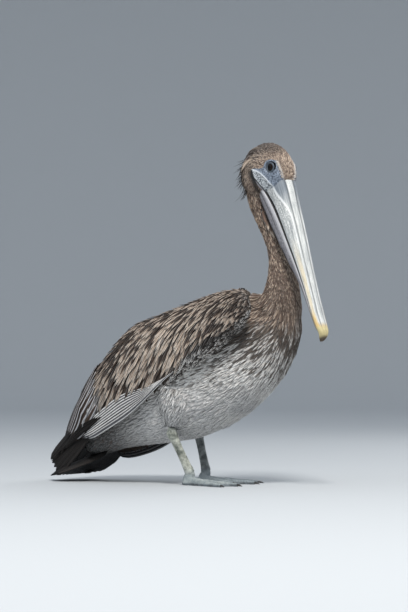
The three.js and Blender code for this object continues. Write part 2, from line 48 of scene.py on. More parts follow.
class Wire:
    """A shader value that takes Python's operators and adds a Math node for each."""

    def __init__(self, finish, socket):
        self.finish = finish
        self.socket = socket

    def math(self, operation, *values):
        inputs = dict(enumerate((self, *values)))
        return self.finish.add("ShaderNodeMath", {"operation": operation}, inputs)

    def reflected(self, operation, value):
        return self.finish.add("ShaderNodeMath", {"operation": operation}, {0: value, 1: self})

    def __add__(self, other):
        return self.math("ADD", other)

    def __sub__(self, other):
        return self.math("SUBTRACT", other)

    def __mul__(self, other):
        return self.math("MULTIPLY", other)

    def __radd__(self, other):
        return self.reflected("ADD", other)

    def __rsub__(self, other):
        return self.reflected("SUBTRACT", other)

    def __rmul__(self, other):
        return self.reflected("MULTIPLY", other)

    def far(self):
        return self.math("ABSOLUTE")

    def wave(self):
        return self.math("SINE")

    def rise(self, low, high):
        """0 below low, 1 above high and smooth between; low may be the larger."""
        settings = {"interpolation_type": "SMOOTHSTEP"}
        if low > high:
            return 1 - self.rise(high, low)
        return self.finish.add("ShaderNodeMapRange", settings, {0: self, 1: low, 2: high, 3: 0.0, 4: 1.0})


def tone(code):
    """A colour written as six hex digits, as the light values that the shaders take."""
    parts = [int(code[i : i + 2], 16) / 255 for i in (0, 2, 4)]
    return np.array([c / 12.92 if c <= 0.04045 else ((c + 0.055) / 1.055) ** 2.4 for c in parts])


class Finish:
    """One node material, wired a node at a time."""

    def __init__(self, name):
        self.material = bpy.data.materials.new(name)
        self.material.use_nodes = True
        self.tree = self.material.node_tree
        self.shader = self.tree.nodes["Principled BSDF"]

    def add(self, kind, settings=None, inputs=None, output=0):
        """Adds a node: its settings first, then the values or links of its sockets."""
        node = self.tree.nodes.new(kind)
        for key, value in (settings or {}).items():
            setattr(node, key, value)
        for key, value in (inputs or {}).items():
            self.put(node.inputs[key], value)
        return Wire(self, node.outputs[output])

    def put(self, socket, value):
        if isinstance(value, Wire):
            self.tree.links.new(value.socket, socket)
        elif socket.type == "RGBA":
            socket.default_value = (*value, 1.0)
        else:
            socket.default_value = value

    def set(self, **values):
        """Sets the shader's sockets: base_color for Base Color, and so on."""
        for key, value in values.items():
            self.put(self.shader.inputs[key.replace("_", " ").title().replace("Ior", "IOR")], value)

    def place(self):
        """Object coordinates, in metres."""
        return self.add("ShaderNodeTexCoord", output=3)

    def value(self, name):
        """A number stored on the mesh's points."""
        return self.add("ShaderNodeAttribute", {"attribute_name": name}, output=2)

    def colour(self, name):
        """A colour stored on the mesh's points."""
        return self.add("ShaderNodeAttribute", {"attribute_name": name}, output=0)

    def vane(self):
        """How far out from a feather's shaft a place is, from 0 to 1, and how far along the feather."""
        mapped = self.add("ShaderNodeUVMap", {"uv_map": "Vane"})
        across = self.add("ShaderNodeSeparateXYZ", None, {0: mapped})
        return (across - 0.5).far() * 2, Wire(self, across.socket.node.outputs[1])

    def joined(self, x, y):
        """Two numbers as one place."""
        return self.add("ShaderNodeCombineXYZ", None, {0: x, 1: y})

    def noise(self, scale, detail, at=None, roughness=0.5):
        inputs = {"Vector": at or self.place(), "Scale": scale, "Detail": detail, "Roughness": roughness}
        return self.add("ShaderNodeTexNoise", None, inputs)

    def cells(self, scale):
        return self.add("ShaderNodeTexVoronoi", None, {"Vector": self.place(), "Scale": scale})

    def mix(self, share, first, second):
        return self.add("ShaderNodeMix", {"data_type": "RGBA"}, {0: share, 6: first, 7: second}, output=2)

    def layered(self, colour, *layers):
        """A colour with others laid over it in turn, each given as its cover and its tone."""
        for share, code in layers:
            colour = self.mix(share, colour, tone(code))
        return colour

    def shaded(self, colour, factor):
        """A colour made darker or lighter by a number."""
        return self.add("ShaderNodeVectorMath", {"operation": "SCALE"}, {0: colour, 3: factor})

    def relief(self, height, depth):
        return self.add("ShaderNodeBump", None, {"Height": height, "Distance": depth, "Strength": 1.0})


def smooth(low, high, values):
    """0 at low, 1 at high and smooth between; low may be the larger."""
    share = np.clip((values - low) / (high - low), 0.0, 1.0)
    return share * share * (3 - 2 * share)


def read(items, key, width, kind=np.float32):
    """One property of a mesh's points or edges, as an array with a row for each."""
    flat = np.empty(len(items) * width, kind)
    items.foreach_get(key, flat)
    return flat.reshape(-1, width)


def points_of(mesh):
    return read(mesh.vertices, "co", 3).astype(float)


def edges_of(mesh):
    return read(mesh.edges, "vertices", 2, np.int32)


def normals_of(mesh):
    return read(mesh.vertex_normals, "vector", 3).astype(float)


def move_points(mesh, points):
    mesh.vertices.foreach_set("co", points.astype(np.float32).ravel())
    mesh.update()


def relax(values, edges, rounds, share=0.5):
    """Evens values over a mesh by drawing each point toward its neighbours."""
    count = np.maximum(np.bincount(edges.ravel(), minlength=len(values)), 1)[:, None]
    values = values.reshape(len(values), -1)
    for _ in range(rounds):
        total = np.stack(
            [
                np.bincount(edges[:, 0], column[edges[:, 1]], len(values))
                + np.bincount(edges[:, 1], column[edges[:, 0]], len(values))
                for column in values.T
            ],
            1,
        )
        values = values + share * (total / count - values)
    return values


def store(mesh, name, values):
    """Keeps a number or a colour per point under a name the finish reads."""
    kind = "FLOAT" if values.ndim == 1 else "FLOAT_COLOR"
    layer = mesh.attributes.new(name, kind, "POINT")
    if values.ndim == 1:
        layer.data.foreach_set("value", values.astype(np.float32))
    else:
        rgba = np.concatenate([values, np.ones((len(values), 1))], 1)
        layer.data.foreach_set("color", rgba.astype(np.float32).ravel())


def mesh_of(bm, name):
    """The mesh of a finished bmesh."""
    mesh = bpy.data.meshes.new(name)
    bm.to_mesh(mesh)
    bm.free()
    return mesh


def added(name, data):
    """A new object in the scene."""
    thing = bpy.data.objects.new(name, data)
    bpy.context.scene.collection.objects.link(thing)
    return thing


def piece(name, mesh, finish, replaced=(), even=True):
    """Makes the finished object of a mesh: its place is in the mesh and it rides on the bird."""
    thing = added(name, mesh)
    mesh.materials.clear()
    mesh.materials.append(finish.material)
    if even:
        mesh.shade_smooth()
    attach(thing, "root")
    if replaced:
        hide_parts(*replaced)


def grown(name, nodes, voxel, extra=()):
    """One even skin over several solids, as a new mesh."""
    bm = bmesh.new()
    for node in nodes:
        bm.from_mesh(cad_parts[node].data)
    for mesh in extra:
        bm.from_mesh(mesh)
    bmesh.ops.remove_doubles(bm, verts=bm.verts, dist=1e-5)
    holder = added(name + "_raw", mesh_of(bm, name))
    remesh = holder.modifiers.new("grow", "REMESH")
    remesh.mode = "VOXEL"
    remesh.voxel_size = voxel
    remesh.adaptivity = 0.0
    view = holder.evaluated_get(bpy.context.evaluated_depsgraph_get())
    mesh = bpy.data.meshes.new_from_object(view)
    mesh.name = name
    bpy.data.objects.remove(holder)
    return mesh


FOOT_VOXEL = 0.0011
GROUND_SHIFT = 0.0145  # the feet's own origin lies this far behind the bird's
# The right leg's tones are a paler, lit copy and the left leg's a darker, shaded copy of one skin: painted
# light and painted shade.
LEG_TONES = {"r": ("c6c8bc", "50564e"), "l": ("8c9190", "3c4244")}
FOOT_TONE = "8a959b"
WEB_TONE = "737d83"
CREASE_TONE = "4b5053"
FEET = {"r": (-0.036, -0.0135), "l": (0.036, -0.0005)}  # where the toes meet, (x, y)
# Each toe's length to the root of its claw, heading in degrees off straight ahead, and width.
TOES = [(0.099, 25, 0.0095), (0.102, 2, 0.0100), (0.074, -17, 0.0090), (0.027, -126, 0.0075)]
TOES_OUT = {"r": -4, "l": 5}  # how far the whole foot turns out, in degrees
TOE_HEIGHT = 0.012
TOE_ROUNDING = 0.85  # how much of what lies past a toe's length is drawn back
SOLE_HEIGHT = 0.0006  # what lies lower than this is the flat of the sole
CLAW_LENGTH = 0.013
CLAW_SUNK = 0.002  # how far the claw's root lies within the toe
CLAW_TAPER = 0.62
CLAW_ROOT_HEIGHT = 0.0030
CLAW_FALL = 0.0022
CLAW_WIDTH, CLAW_DEPTH = 0.27, 0.25  # half of each, as shares of the toe's width
KNOB_RADIUS = 0.0085
KNOB_SHAPE = (0.80, 1.12, 0.95)
KNOB_BACK, KNOB_HEIGHT = 0.0055, 0.0190

claw_finish = Finish("claw")
claw_grain = claw_finish.noise(300.0, 4.0)
claw_finish.set(
    base_color=claw_finish.mix(claw_grain, tone("1b1a19"), tone("3d3a37")),
    roughness=0.30 + claw_grain * 0.2,
)
for side, (foot_x, foot_y) in FEET.items():
    # A knob of skin over the joint closes shank and foot into one.
    knob_bm = bmesh.new()
    bmesh.ops.create_uvsphere(knob_bm, u_segments=20, v_segments=14, radius=KNOB_RADIUS)
    bmesh.ops.scale(knob_bm, vec=KNOB_SHAPE, verts=knob_bm.verts)
    bmesh.ops.translate(knob_bm, vec=(foot_x, foot_y - KNOB_BACK, KNOB_HEIGHT), verts=knob_bm.verts)
    knob = mesh_of(knob_bm, "knob_" + side)
    leg = grown("leg_" + side, ["shank_" + side, "foot_" + side], FOOT_VOXEL, [knob])
    spots = points_of(leg)
    links = edges_of(leg)
    flat_sole = spots[:, 2] < SOLE_HEIGHT

    # The claws are pieces of their own: the skin ends in a round toe tip that holds each claw's root.
    claw_bm = bmesh.new()
    sign = -1 if side == "r" else 1
    for toe_length, heading, toe_width in TOES:
        turn = math.radians(heading + TOES_OUT[side])
        ahead = np.array([sign * math.sin(turn), -math.cos(turn)])
        aside = np.array([-ahead[1], ahead[0]])
        from_root = spots[:, :2] - (foot_x, foot_y)
        out = from_root @ ahead
        past = (out > toe_length) & (np.abs(from_root @ aside) < toe_width) & (spots[:, 2] < TOE_HEIGHT)
        spots[past, :2] -= ahead * (TOE_ROUNDING * (out[past] - toe_length))[:, None]
        made = bmesh.ops.create_uvsphere(claw_bm, u_segments=14, v_segments=12, radius=1.0)
        for v in made["verts"]:
            share = (v.co.x + 1) / 2
            thin = (1 - CLAW_TAPER * share) * toe_width
            forth = toe_length - CLAW_SUNK + CLAW_LENGTH * share
            across = v.co.y * thin * CLAW_WIDTH
            rise = CLAW_ROOT_HEIGHT - CLAW_FALL * share**2 + v.co.z * thin * CLAW_DEPTH
            place = (foot_x, foot_y) + ahead * forth + aside * across
            v.co = (place[0], place[1], max(rise, 0.0002))
    piece("claws_" + side, mesh_of(claw_bm, "claws_" + side), claw_finish)
    rounded = relax(spots, links, 4)
    rounded[flat_sole, 2] = spots[flat_sole, 2]
    rounded[:, 2] = np.maximum(rounded[:, 2], 0.0)
    move_points(leg, rounded)
    store(leg, "reach", np.hypot(rounded[:, 0] - foot_x, rounded[:, 1] - foot_y))
    # Toes stand above the web: 0 on the web and 1 on the toes and the shank.
    store(leg, "bone", smooth(0.0026, 0.0052, rounded[:, 2]))
    store(leg, "height", rounded[:, 2])
    leg_finish = Finish("leg_skin_" + side)
    high, low = (tone(code) for code in LEG_TONES[side])
    scale_noise = leg_finish.noise(95.0, 4.0)
    grain = leg_finish.cells(520.0)
    plates = (leg_finish.value("reach") * 1150.0).wave().rise(-0.2, 0.9)
    bone = leg_finish.value("bone")
    bone_tone = leg_finish.mix(scale_noise.rise(0.25, 0.75), low, high)
    bone_tone = leg_finish.mix(leg_finish.value("height").rise(0.034, 0.014) * 0.7, bone_tone, tone(FOOT_TONE))
    web = leg_finish.mix(scale_noise.rise(0.35, 0.75), tone(CREASE_TONE), tone(WEB_TONE))
    # On the left leg these tones carry its painted shade, on the right its painted light.
    worn = leg_finish.mix(bone, web, bone_tone)
    worn = leg_finish.shaded(worn, 0.82 + grain * 0.35)
    relief = grain * (0.35 + 0.35 * bone) + plates * bone * 0.5 + scale_noise * 0.6
    leg_finish.set(
        base_color=worn, roughness=0.42 + scale_noise * 0.3, normal=leg_finish.relief(relief, 0.0009)
    )
    piece("leg_" + side, leg, leg_finish, ["shank_" + side, "foot_" + side])


# ---------------------------------------------------------------- skin
# One skin over trunk, neck, head, thighs and both folded arms, which the plumage grows from.
# It lies under the feathers by their depth, and comes up bare around the eyes and at the bill's root.

HEAD_TURN = math.radians(15)
HEAD_PIVOT = 0.130  # how far ahead of the feet the head turns on the neck
EYE_AT = (0.0535, 0.0223, 0.5590)  # along the head, to the side, up
EYE_RADIUS = 0.0082


def spot(side, forward, up):
    """A place on the bird from its side, forward and upward distances."""
    return np.array([side, -forward - GROUND_SHIFT, up])


def head_spot(side, along, up):
    """A place given along the turned head, from its pivot on the neck."""
    side, along, up = (np.asarray(v, float) for v in (side, along, up))
    across = math.cos(HEAD_TURN) * side - math.sin(HEAD_TURN) * along
    ahead = HEAD_PIVOT + math.cos(HEAD_TURN) * along + math.sin(HEAD_TURN) * side
    return np.stack(np.broadcast_arrays(across, -ahead - GROUND_SHIFT, up), -1)


def on_head(points):
    """Distances along the head, to its left and up, of places on the bird."""
    ahead = -points[:, 1] - GROUND_SHIFT - HEAD_PIVOT
    along = math.cos(HEAD_TURN) * ahead - math.sin(HEAD_TURN) * points[:, 0]
    side = math.cos(HEAD_TURN) * points[:, 0] + math.sin(HEAD_TURN) * ahead
    return along, side, points[:, 2]


# The upper border of the bare face, from the gape round behind the eye to the point on the forehead,
# and the lower one beside the bill, as (along the head, up).
FACE_BORDER = [
    (0.0090, 0.5575), (0.0140, 0.5592), (0.0240, 0.5588), (0.0350, 0.5578), (0.0410, 0.5595),
    (0.0412, 0.5660), (0.0445, 0.5708), (0.0500, 0.5728), (0.0565, 0.5724), (0.0625, 0.5698),
    (0.0680, 0.5660), (0.0770, 0.5600), (0.0880, 0.5500), (0.0950, 0.5300), (0.0950, 0.4900),
    (0.0560, 0.4900), (0.0380, 0.5110), (0.0250, 0.5280), (0.0150, 0.5370), (0.0085, 0.5450),
]


def inside(outline, along, up):
    """Which places lie within a closed outline."""
    found = np.zeros(len(along), bool)
    for (a0, u0), (a1, u1) in zip(outline, outline[1:] + outline[:1]):
        crosses = (u0 > up) != (u1 > up)
        found ^= crosses & (along < (a1 - a0) * (up - u0) / (u1 - u0 + 1e-12) + a0)
    return found


def border_distance(outline, along, up):
    """How far each place is from an outline."""
    best = np.full(len(along), 1.0)
    for (a0, u0), (a1, u1) in zip(outline, outline[1:] + outline[:1]):
        length = (a1 - a0) ** 2 + (u1 - u0) ** 2
        share = np.clip(((along - a0) * (a1 - a0) + (up - u0) * (u1 - u0)) / length, 0, 1)
        away = np.hypot(along - a0 - share * (a1 - a0), up - u0 - share * (u1 - u0))
        best = np.minimum(best, away)
    return best


def along_line(line, along, up):
    """How far places on the head's side are from a line of points."""
    return np.min([border_distance([a, b], along, up) for a, b in zip(line, line[1:])], 0)


# The forehead's feathers narrow to a point at the bill: height, and half their width there.
FOREHEAD = (
    [0.5200, 0.5317, 0.5415, 0.5515, 0.5600, 0.5680], [0.0040, 0.0108, 0.0152, 0.0186, 0.0208, 0.0222]
)
FOREHEAD_START = 0.064  # how far along the head


def bareness(points):
    """Distance within the bare face in metres; negative where feathers grow."""
    along, side, up = on_head(points)
    away = border_distance(FACE_BORDER, along, up)
    away = np.where(inside(FACE_BORDER, along, up) & (np.abs(side) > 0.004), away, -away)
    beside = np.abs(side) - np.interp(up, *FOREHEAD)
    return np.where(along > FOREHEAD_START, np.minimum(away, beside), away)


# The groove between the folded arms is filled by the long feathers of the back.
mantle_bm = bmesh.new()
MANTLE = [(0.130, 0.322, 0.020), (0.060, 0.325, 0.022), (-0.010, 0.306, 0.020), (-0.080, 0.284, 0.018),
          (-0.150, 0.236, 0.017), (-0.200, 0.176, 0.016), (-0.240, 0.108, 0.013)]
for (f0, u0, r0), (f1, u1, r1) in zip(MANTLE, MANTLE[1:]):
    middle = Vector(spot(0, (f0 + f1) / 2, (u0 + u1) / 2))
    run = Vector(spot(0, f1, u1)) - Vector(spot(0, f0, u0))
    made = bmesh.ops.create_cone(
        mantle_bm, cap_ends=True, segments=20, radius1=r0, radius2=r1, depth=run.length * 1.12
    )
    turn = run.to_track_quat("Z", "Y").to_matrix().to_4x4()
    bmesh.ops.transform(mantle_bm, matrix=turn, verts=made["verts"])
    bmesh.ops.translate(mantle_bm, vec=middle, verts=made["verts"])
mantle = mesh_of(mantle_bm, "mantle")

SKIN_NODES = ["trunk", "neck", "head", "thigh_r", "thigh_l", "wing_r", "wing_l"]
SKIN_VOXEL = 0.00276
skin = grown("skin", SKIN_NODES, SKIN_VOXEL, [mantle])

# A search tree for each solid tells which one lies under a point of the skin.
node_trees = {}
for node in SKIN_NODES:
    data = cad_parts[node].data
    polygons = [tuple(p.vertices) for p in data.polygons]
    node_trees[node] = BVHTree.FromPolygons([v.co for v in data.vertices], polygons)


def owner_of(points):
    """The index in SKIN_NODES of the solid nearest to each place."""
    found = np.zeros(len(points), int)
    for i, point in enumerate(points):
        best = 0.05
        for n, node in enumerate(SKIN_NODES):
            hit = node_trees[node].find_nearest(point, best)
            if hit[3] is not None and hit[3] < best:
                best = hit[3]
                found[i] = n
    return found


# The face gets a finer net than the rest, for its folds and the hollows of the eyes.
bm = bmesh.new()
bm.from_mesh(skin)
eyes = [Vector(head_spot(s * EYE_AT[1], EYE_AT[0], EYE_AT[2])) for s in (-1, 1)]
FACE_REACH = 0.034
fine = [
    e for e in bm.edges
    if any(min((v.co - eye).length for v in e.verts) < FACE_REACH for eye in eyes)
]
bmesh.ops.subdivide_edges(bm, edges=fine, cuts=1, use_grid_fill=True)
bmesh.ops.triangulate(bm, faces=[f for f in bm.faces if len(f.verts) > 4])
bm.to_mesh(skin)
bm.free()

spots = points_of(skin)
links = edges_of(skin)
spots = relax(spots, links, 6)
move_points(skin, spots)
normals = normals_of(skin)
owners = owner_of(spots)

COAT_DEPTH = {"trunk": 0.0042, "neck": 0.0028, "head": 0.0022, "thigh_r": 0.004, "thigh_l": 0.004,
              "wing_r": 0.0020, "wing_l": 0.0020}
depth = np.array([COAT_DEPTH[n] for n in SKIN_NODES])[owners]
bare = bareness(spots)
is_head = owners == SKIN_NODES.index("head")
depth = np.where(is_head, depth * smooth(0.001, -0.004, bare), depth)
depth = relax(depth, links, 8)[:, 0]
spots = spots - normals * depth[:, None]

# Round each eye the skin sinks into a socket and rises in a low ring outside it.
SOCKET_DEPTH = 0.0046
RING_HEIGHT = 0.0006
RING_RADIUS = 0.0120
FACE_SIDE = 0.012  # how far out from the middle the sides of the face begin
along, side, up = on_head(spots)
from_eye = np.hypot(along - EYE_AT[0], up - EYE_AT[2])
socket = SOCKET_DEPTH * (1 - smooth(0.0078, 0.0108, from_eye))
ring = RING_HEIGHT * np.exp(-(((from_eye - RING_RADIUS) / 0.0015) ** 2))
# Between eye and bill the lores are slightly hollow, with a raised fold running from the gape.
lores = 0.0012 * np.exp(-((border_distance([(0.056, 0.545), (0.070, 0.531)], along, up) / 0.006) ** 2))
FOLD = [
    (0.0120, 0.5580), (0.0250, 0.5538), (0.0350, 0.5490), (0.0450, 0.5408), (0.0555, 0.5279),
    (0.0640, 0.5127),
]
fold = 0.0012 * np.exp(-((along_line(FOLD, along, up) / 0.0022) ** 2))
sunk = np.where(is_head & (np.abs(side) > FACE_SIDE), socket - ring + lores - fold, 0.0)
inward = head_spot(1, 0, 0) - head_spot(0, 0, 0)
spots = spots - np.sign(side)[:, None] * inward * sunk[:, None]
move_points(skin, spots)


# ---------------------------------------------------------------- eyes and lids
# Dark brown eyes with a wide pupil under a clear cornea.
# Each ball sits in its socket behind a ring of thick dark lid skin.

IRIS_RADIUS = 0.0062
PUPIL_RADIUS = 0.0034
LID_RADIUS = 0.0080
LID_THICKNESS = 0.0016
LID_OUT = 0.0046  # how far the lid ring stands out from the ball's centre
BROW_OUT, BROW_DOWN = 0.0007, 0.0006  # how far the upper lid comes out and down


def spun(bm, steps):
    """Spins the lines of a bmesh once round the upright axis into a surface."""
    bmesh.ops.spin(
        bm, geom=bm.verts[:] + bm.edges[:], cent=(0, 0, 0), axis=(0, 0, 1), dvec=(0, 0, 0),
        angle=2 * math.pi, steps=steps, use_merge=True,
    )
    bmesh.ops.remove_doubles(bm, verts=bm.verts, dist=1e-5)
    bmesh.ops.recalc_face_normals(bm, faces=bm.faces)


eye_finish = Finish("eye")
from_axis = eye_finish.value("from_axis")
iris_noise = eye_finish.noise(900.0, 3.0)
iris = eye_finish.mix(iris_noise, tone("0f0a07"), tone("20140c"))
iris = eye_finish.mix(from_axis.rise(PUPIL_RADIUS, PUPIL_RADIUS + 0.0004), tone("020202"), iris)
iris = eye_finish.mix(from_axis.rise(IRIS_RADIUS - 0.0006, IRIS_RADIUS), iris, tone("060505"))
eye_finish.set(
    base_color=iris, roughness=0.08 + iris_noise * 0.04, ior=1.38, specular_ior_level=0.15,
    coat_weight=0.15, coat_roughness=0.02,
)

lid_finish = Finish("lid")
lid_noise = lid_finish.noise(700.0, 5.0)
lid_finish.set(
    base_color=lid_finish.mix(lid_noise, tone("272c32"), tone("59636e")),
    roughness=0.45 + lid_noise * 0.2,
    normal=lid_finish.relief(lid_noise, 0.0004),
)

for side, sign in (("r", -1), ("l", 1)):
    centre = head_spot(sign * EYE_AT[1], EYE_AT[0], EYE_AT[2])
    outward = sign * inward
    bm = bmesh.new()
    bmesh.ops.create_uvsphere(bm, u_segments=48, v_segments=32, radius=EYE_RADIUS)
    bmesh.ops.translate(bm, vec=Vector(centre), verts=bm.verts)
    ball = mesh_of(bm, "eyeball_" + side)
    reach = points_of(ball) - centre
    store(ball, "from_axis", np.linalg.norm(reach - np.outer(reach @ outward, outward), axis=1))
    piece("eyeball_" + side, ball, eye_finish, ["eye_" + side])

    # The lid ring is a thick circle spun round the eye's axis, fuller above than below.
    bm = bmesh.new()
    made = bmesh.ops.create_circle(bm, segments=12, radius=LID_THICKNESS)
    upright = Vector((0, 1, 0)).to_track_quat("Z", "X").to_matrix()
    bmesh.ops.rotate(bm, cent=(0, 0, 0), matrix=upright, verts=made["verts"])
    bmesh.ops.translate(bm, vec=(LID_RADIUS, 0, LID_OUT), verts=made["verts"])
    spun(bm, 56)
    turned = Vector(outward).to_track_quat("Z", "Y").to_matrix()
    bmesh.ops.transform(bm, matrix=turned.to_4x4(), verts=bm.verts)
    bmesh.ops.translate(bm, vec=Vector(centre), verts=bm.verts)
    for v in bm.verts:
        above = max((v.co.z - centre[2]) / LID_RADIUS, 0)
        v.co += Vector(outward) * (BROW_OUT * above) + Vector((0, 0, -BROW_DOWN * above))
    piece("lid_" + side, mesh_of(bm, "lid_" + side), lid_finish)


# ---------------------------------------------------------------- upper bill
# A long flat bill of pale horn: a round ridge down its middle, a groove and a shoulder each side,
# and a hooked nail at the tip.  One tube, closed at both ends, meets the face under its border.

BILL_PITCH = math.radians(71.3)
BILL_ROOT = (0.072, 0.534)
# Millimetres: distance from the root, ridge, cutting edge, half width.
UPPER_BILL = np.array([
    (-3, 2.4, -38, 24), (14, 3, -33, 22.6), (32, 2.5, -28, 21.6), (60, 2.2, -23, 20.4), (90, 2, -19.5, 19.4),
    (130, 1, -15.4, 17.6), (180, 0, -11.6, 15.2), (215, -0.4, -9.8, 14.4), (250, 0, -8.4, 14),
    (268, 1.5, -7.6, 12.4), (280, 1.2, -8.4, 9), (287, -2.6, -13, 5.5), (291, -8, -15.5, 2.2),
])


def along_table(table, places):
    """Values of a table at places between its rows, on a smooth curve through the rows."""
    x = table[:, 0]
    rows = table[:, 1:]
    slope = np.gradient(rows, x, axis=0)
    i = np.clip(np.searchsorted(x, places) - 1, 0, len(x) - 2)
    step = (x[i + 1] - x[i])[:, None]
    t = ((places - x[i]) / step[:, 0])[:, None]
    return (
        rows[i] * (1 + 2 * t) * (1 - t) ** 2
        + slope[i] * step * t * (1 - t) ** 2
        + rows[i + 1] * t * t * (3 - 2 * t)
        + slope[i + 1] * step * t * t * (t - 1)
    )


def bill_spot(side, along, above):
    """A place given along the bill, from its root, in millimetres."""
    ahead = BILL_ROOT[0] + (math.cos(BILL_PITCH) * along + math.sin(BILL_PITCH) * above) / 1000
    up = BILL_ROOT[1] + (-math.sin(BILL_PITCH) * along + math.cos(BILL_PITCH) * above) / 1000
    return head_spot(np.asarray(side) / 1000, ahead, up)


def tube(name, columns, rows, shape):
    """A closed tube: a grid whose short way goes round and whose long way runs from end to end.
    shape takes both as shares and gives places; they are kept as 'around' and 'along'."""
    bm = bmesh.new()
    bmesh.ops.create_grid(bm, x_segments=columns, y_segments=rows, size=0.5)
    shares = np.array([(v.co.x + 0.5, v.co.y + 0.5) for v in bm.verts])
    around = bm.verts.layers.float.new("around")
    along = bm.verts.layers.float.new("along")
    for v, share, place in zip(bm.verts, shares, shape(shares[:, 0], shares[:, 1])):
        v[around], v[along] = share
        v.co = place
    bmesh.ops.remove_doubles(bm, verts=bm.verts, dist=2e-6)
    bmesh.ops.holes_fill(bm, edges=bm.edges, sides=0)
    bmesh.ops.recalc_face_normals(bm, faces=bm.faces)
    return mesh_of(bm, name)


# The upper bill's section from the ridge outward: share of the half width, share of the way from
# ridge to edge, and a fixed drop below the ridge in millimetres.
SECTION = np.array([
    (0.00, 0.00, 0.00), (0.12, 0.00, 0.15), (0.22, 0.00, 0.60), (0.29, 0.00, 1.60), (0.34, 0.00, 2.50),
    (0.40, 0.00, 2.60), (0.50, 0.00, 2.20), (0.64, 0.00, 2.30), (0.76, 0.08, 2.30), (0.86, 0.20, 2.30),
    (0.94, 0.38, 2.00), (0.985, 0.58, 1.40), (1.00, 0.74, 1.00), (1.00, 0.90, 0.40), (0.97, 1.00, 0.00),
    (0.90, 1.03, 0.00), (0.78, 0.96, 0.00), (0.55, 0.90, 0.00), (0.28, 0.88, 0.00), (0.00, 0.88, 0.00),
])


def upper_shape(around, along):
    places = UPPER_BILL[0, 0] + (UPPER_BILL[-1, 0] - UPPER_BILL[0, 0]) * along
    ridge, edge, half = along_table(UPPER_BILL, places).T
    turn = np.abs(around - 0.5) * 2  # 0 at the ridge, 1 under the roof of the mouth
    sign = np.where(around > 0.5, 1.0, -1.0)
    spot_on = turn * (len(SECTION) - 1)
    rows = np.arange(len(SECTION))
    out, share, drop = (np.interp(spot_on, rows, SECTION[:, c]) for c in range(3))
    nail = smooth(262, 284, places)
    drop = drop * (1 - 0.75 * nail) * np.clip((ridge - edge) / 8, 0, 1)
    above = ridge - share * (ridge - edge) - drop
    return bill_spot(sign * out * half, places, above)


upper = tube("bill_upper_detail", 76, 110, upper_shape)
bill_finish = Finish("bill")
along = bill_finish.value("along")
girth = (bill_finish.value("around") - 0.5).far() * 2
grain = bill_finish.noise(3.0, 6.0, bill_finish.joined(along * 3.0, girth * 46.0), 0.6)
speck = bill_finish.noise(430.0, 5.0, None, 0.7)
horn = bill_finish.mix(grain.rise(0.34, 0.62), tone("868c90"), tone("eeefeb"))
# Grey where the horn meets the face, cream along the lower flanks, yellow toward the nail.
flank = girth.rise(0.40, 0.46) * girth.rise(0.66, 0.56)
cream = flank * along.rise(0.34, 0.62) * 0.50 * (0.5 + grain)
yellow = along.rise(0.80, 0.88) * girth.rise(0.34, 0.56) + along.rise(0.89, 0.93)
nail_mask = along.rise(0.905, 0.935)
# A pale line carries the fold of the face on to the bill and rises to its shoulder.
beside = girth - (0.375 + 0.19 * along.rise(0.26, 0.03))
fold_line = beside.far().rise(0.030, 0.008) * along.rise(0.60, 0.40)
root_grey = along.rise(0.24, 0.03) * girth.rise(0.16, 0.30) * beside.rise(0.03, 0.0)
speckled = beside.rise(0.0, 0.03) * along.rise(0.70, 0.12) * speck.rise(0.58, 0.46)
# The grooves beside the ridge are darkened: painted shade.
groove_shade = girth.rise(0.17, 0.22) * girth.rise(0.34, 0.27)
side_line = girth.rise(0.44, 0.465) * girth.rise(0.505, 0.48) * along.rise(0.7, 0.4) * along.rise(0.2, 0.4)
scratches = bill_finish.noise(1.0, 3.0, bill_finish.joined(along * 7.0, girth * 30.0), 0.6).rise(0.52, 0.64)
horn = bill_finish.layered(
    horn,
    (root_grey * 0.85, "56616e"),
    (speckled * 0.62, "545b62"),
    (fold_line * (0.25 + grain * 0.7), "f3f5f5"),
    (cream, "dcc48e"),
    (yellow.math("MINIMUM", 1.0) * (0.45 + grain * 0.5), "cfa744"),
    (nail_mask * 0.8, "bfb68a"),
    (along.rise(0.968, 0.992), "4d4030"),
    # Painted shade in the grooves, with the horn's own dark side lines.
    ((groove_shade * 0.65 + side_line * 0.20) * (1 - nail_mask), "4c5257"),
    # The underside, facing the pouch, is near black: painted shade.
    (girth.rise(0.785, 0.800), "1a1a1b"),
    (scratches * (1 - nail_mask) * 0.50, "636b71"),
)
bill_finish.set(
    base_color=horn,
    roughness=0.36 + grain * 0.22,
    normal=bill_finish.relief(grain * 0.7 + speck * 0.25, 0.0007),
)
piece("bill_upper_detail", upper, bill_finish, ["bill_upper"])


# ---------------------------------------------------------------- lower bill and pouch
# Two thin bars of horn carry a pouch of bare stretchy skin, folded up at rest into a shallow keel.
# One closed form; the bars are its upper edge and the folds are relief in the finish, with painted shade in
# their hollows.

# Millimetres: distance from the root, upper edge, keel, half width.
LOWER_BILL = np.array([
    (-26, -50, -66, 27), (-8, -41, -71, 25.5), (12, -34.2, -71, 23), (32, -28.6, -69, 21.5),
    (60, -23.6, -63.5, 20), (90, -20, -56.5, 18.6), (130, -15.9, -45.5, 16.6), (180, -12.2, -30, 14),
    (215, -10.4, -22.6, 13), (250, -9, -17.6, 12), (268, -8.3, -15.8, 9), (277, -9.0, -13.5, 4),
])


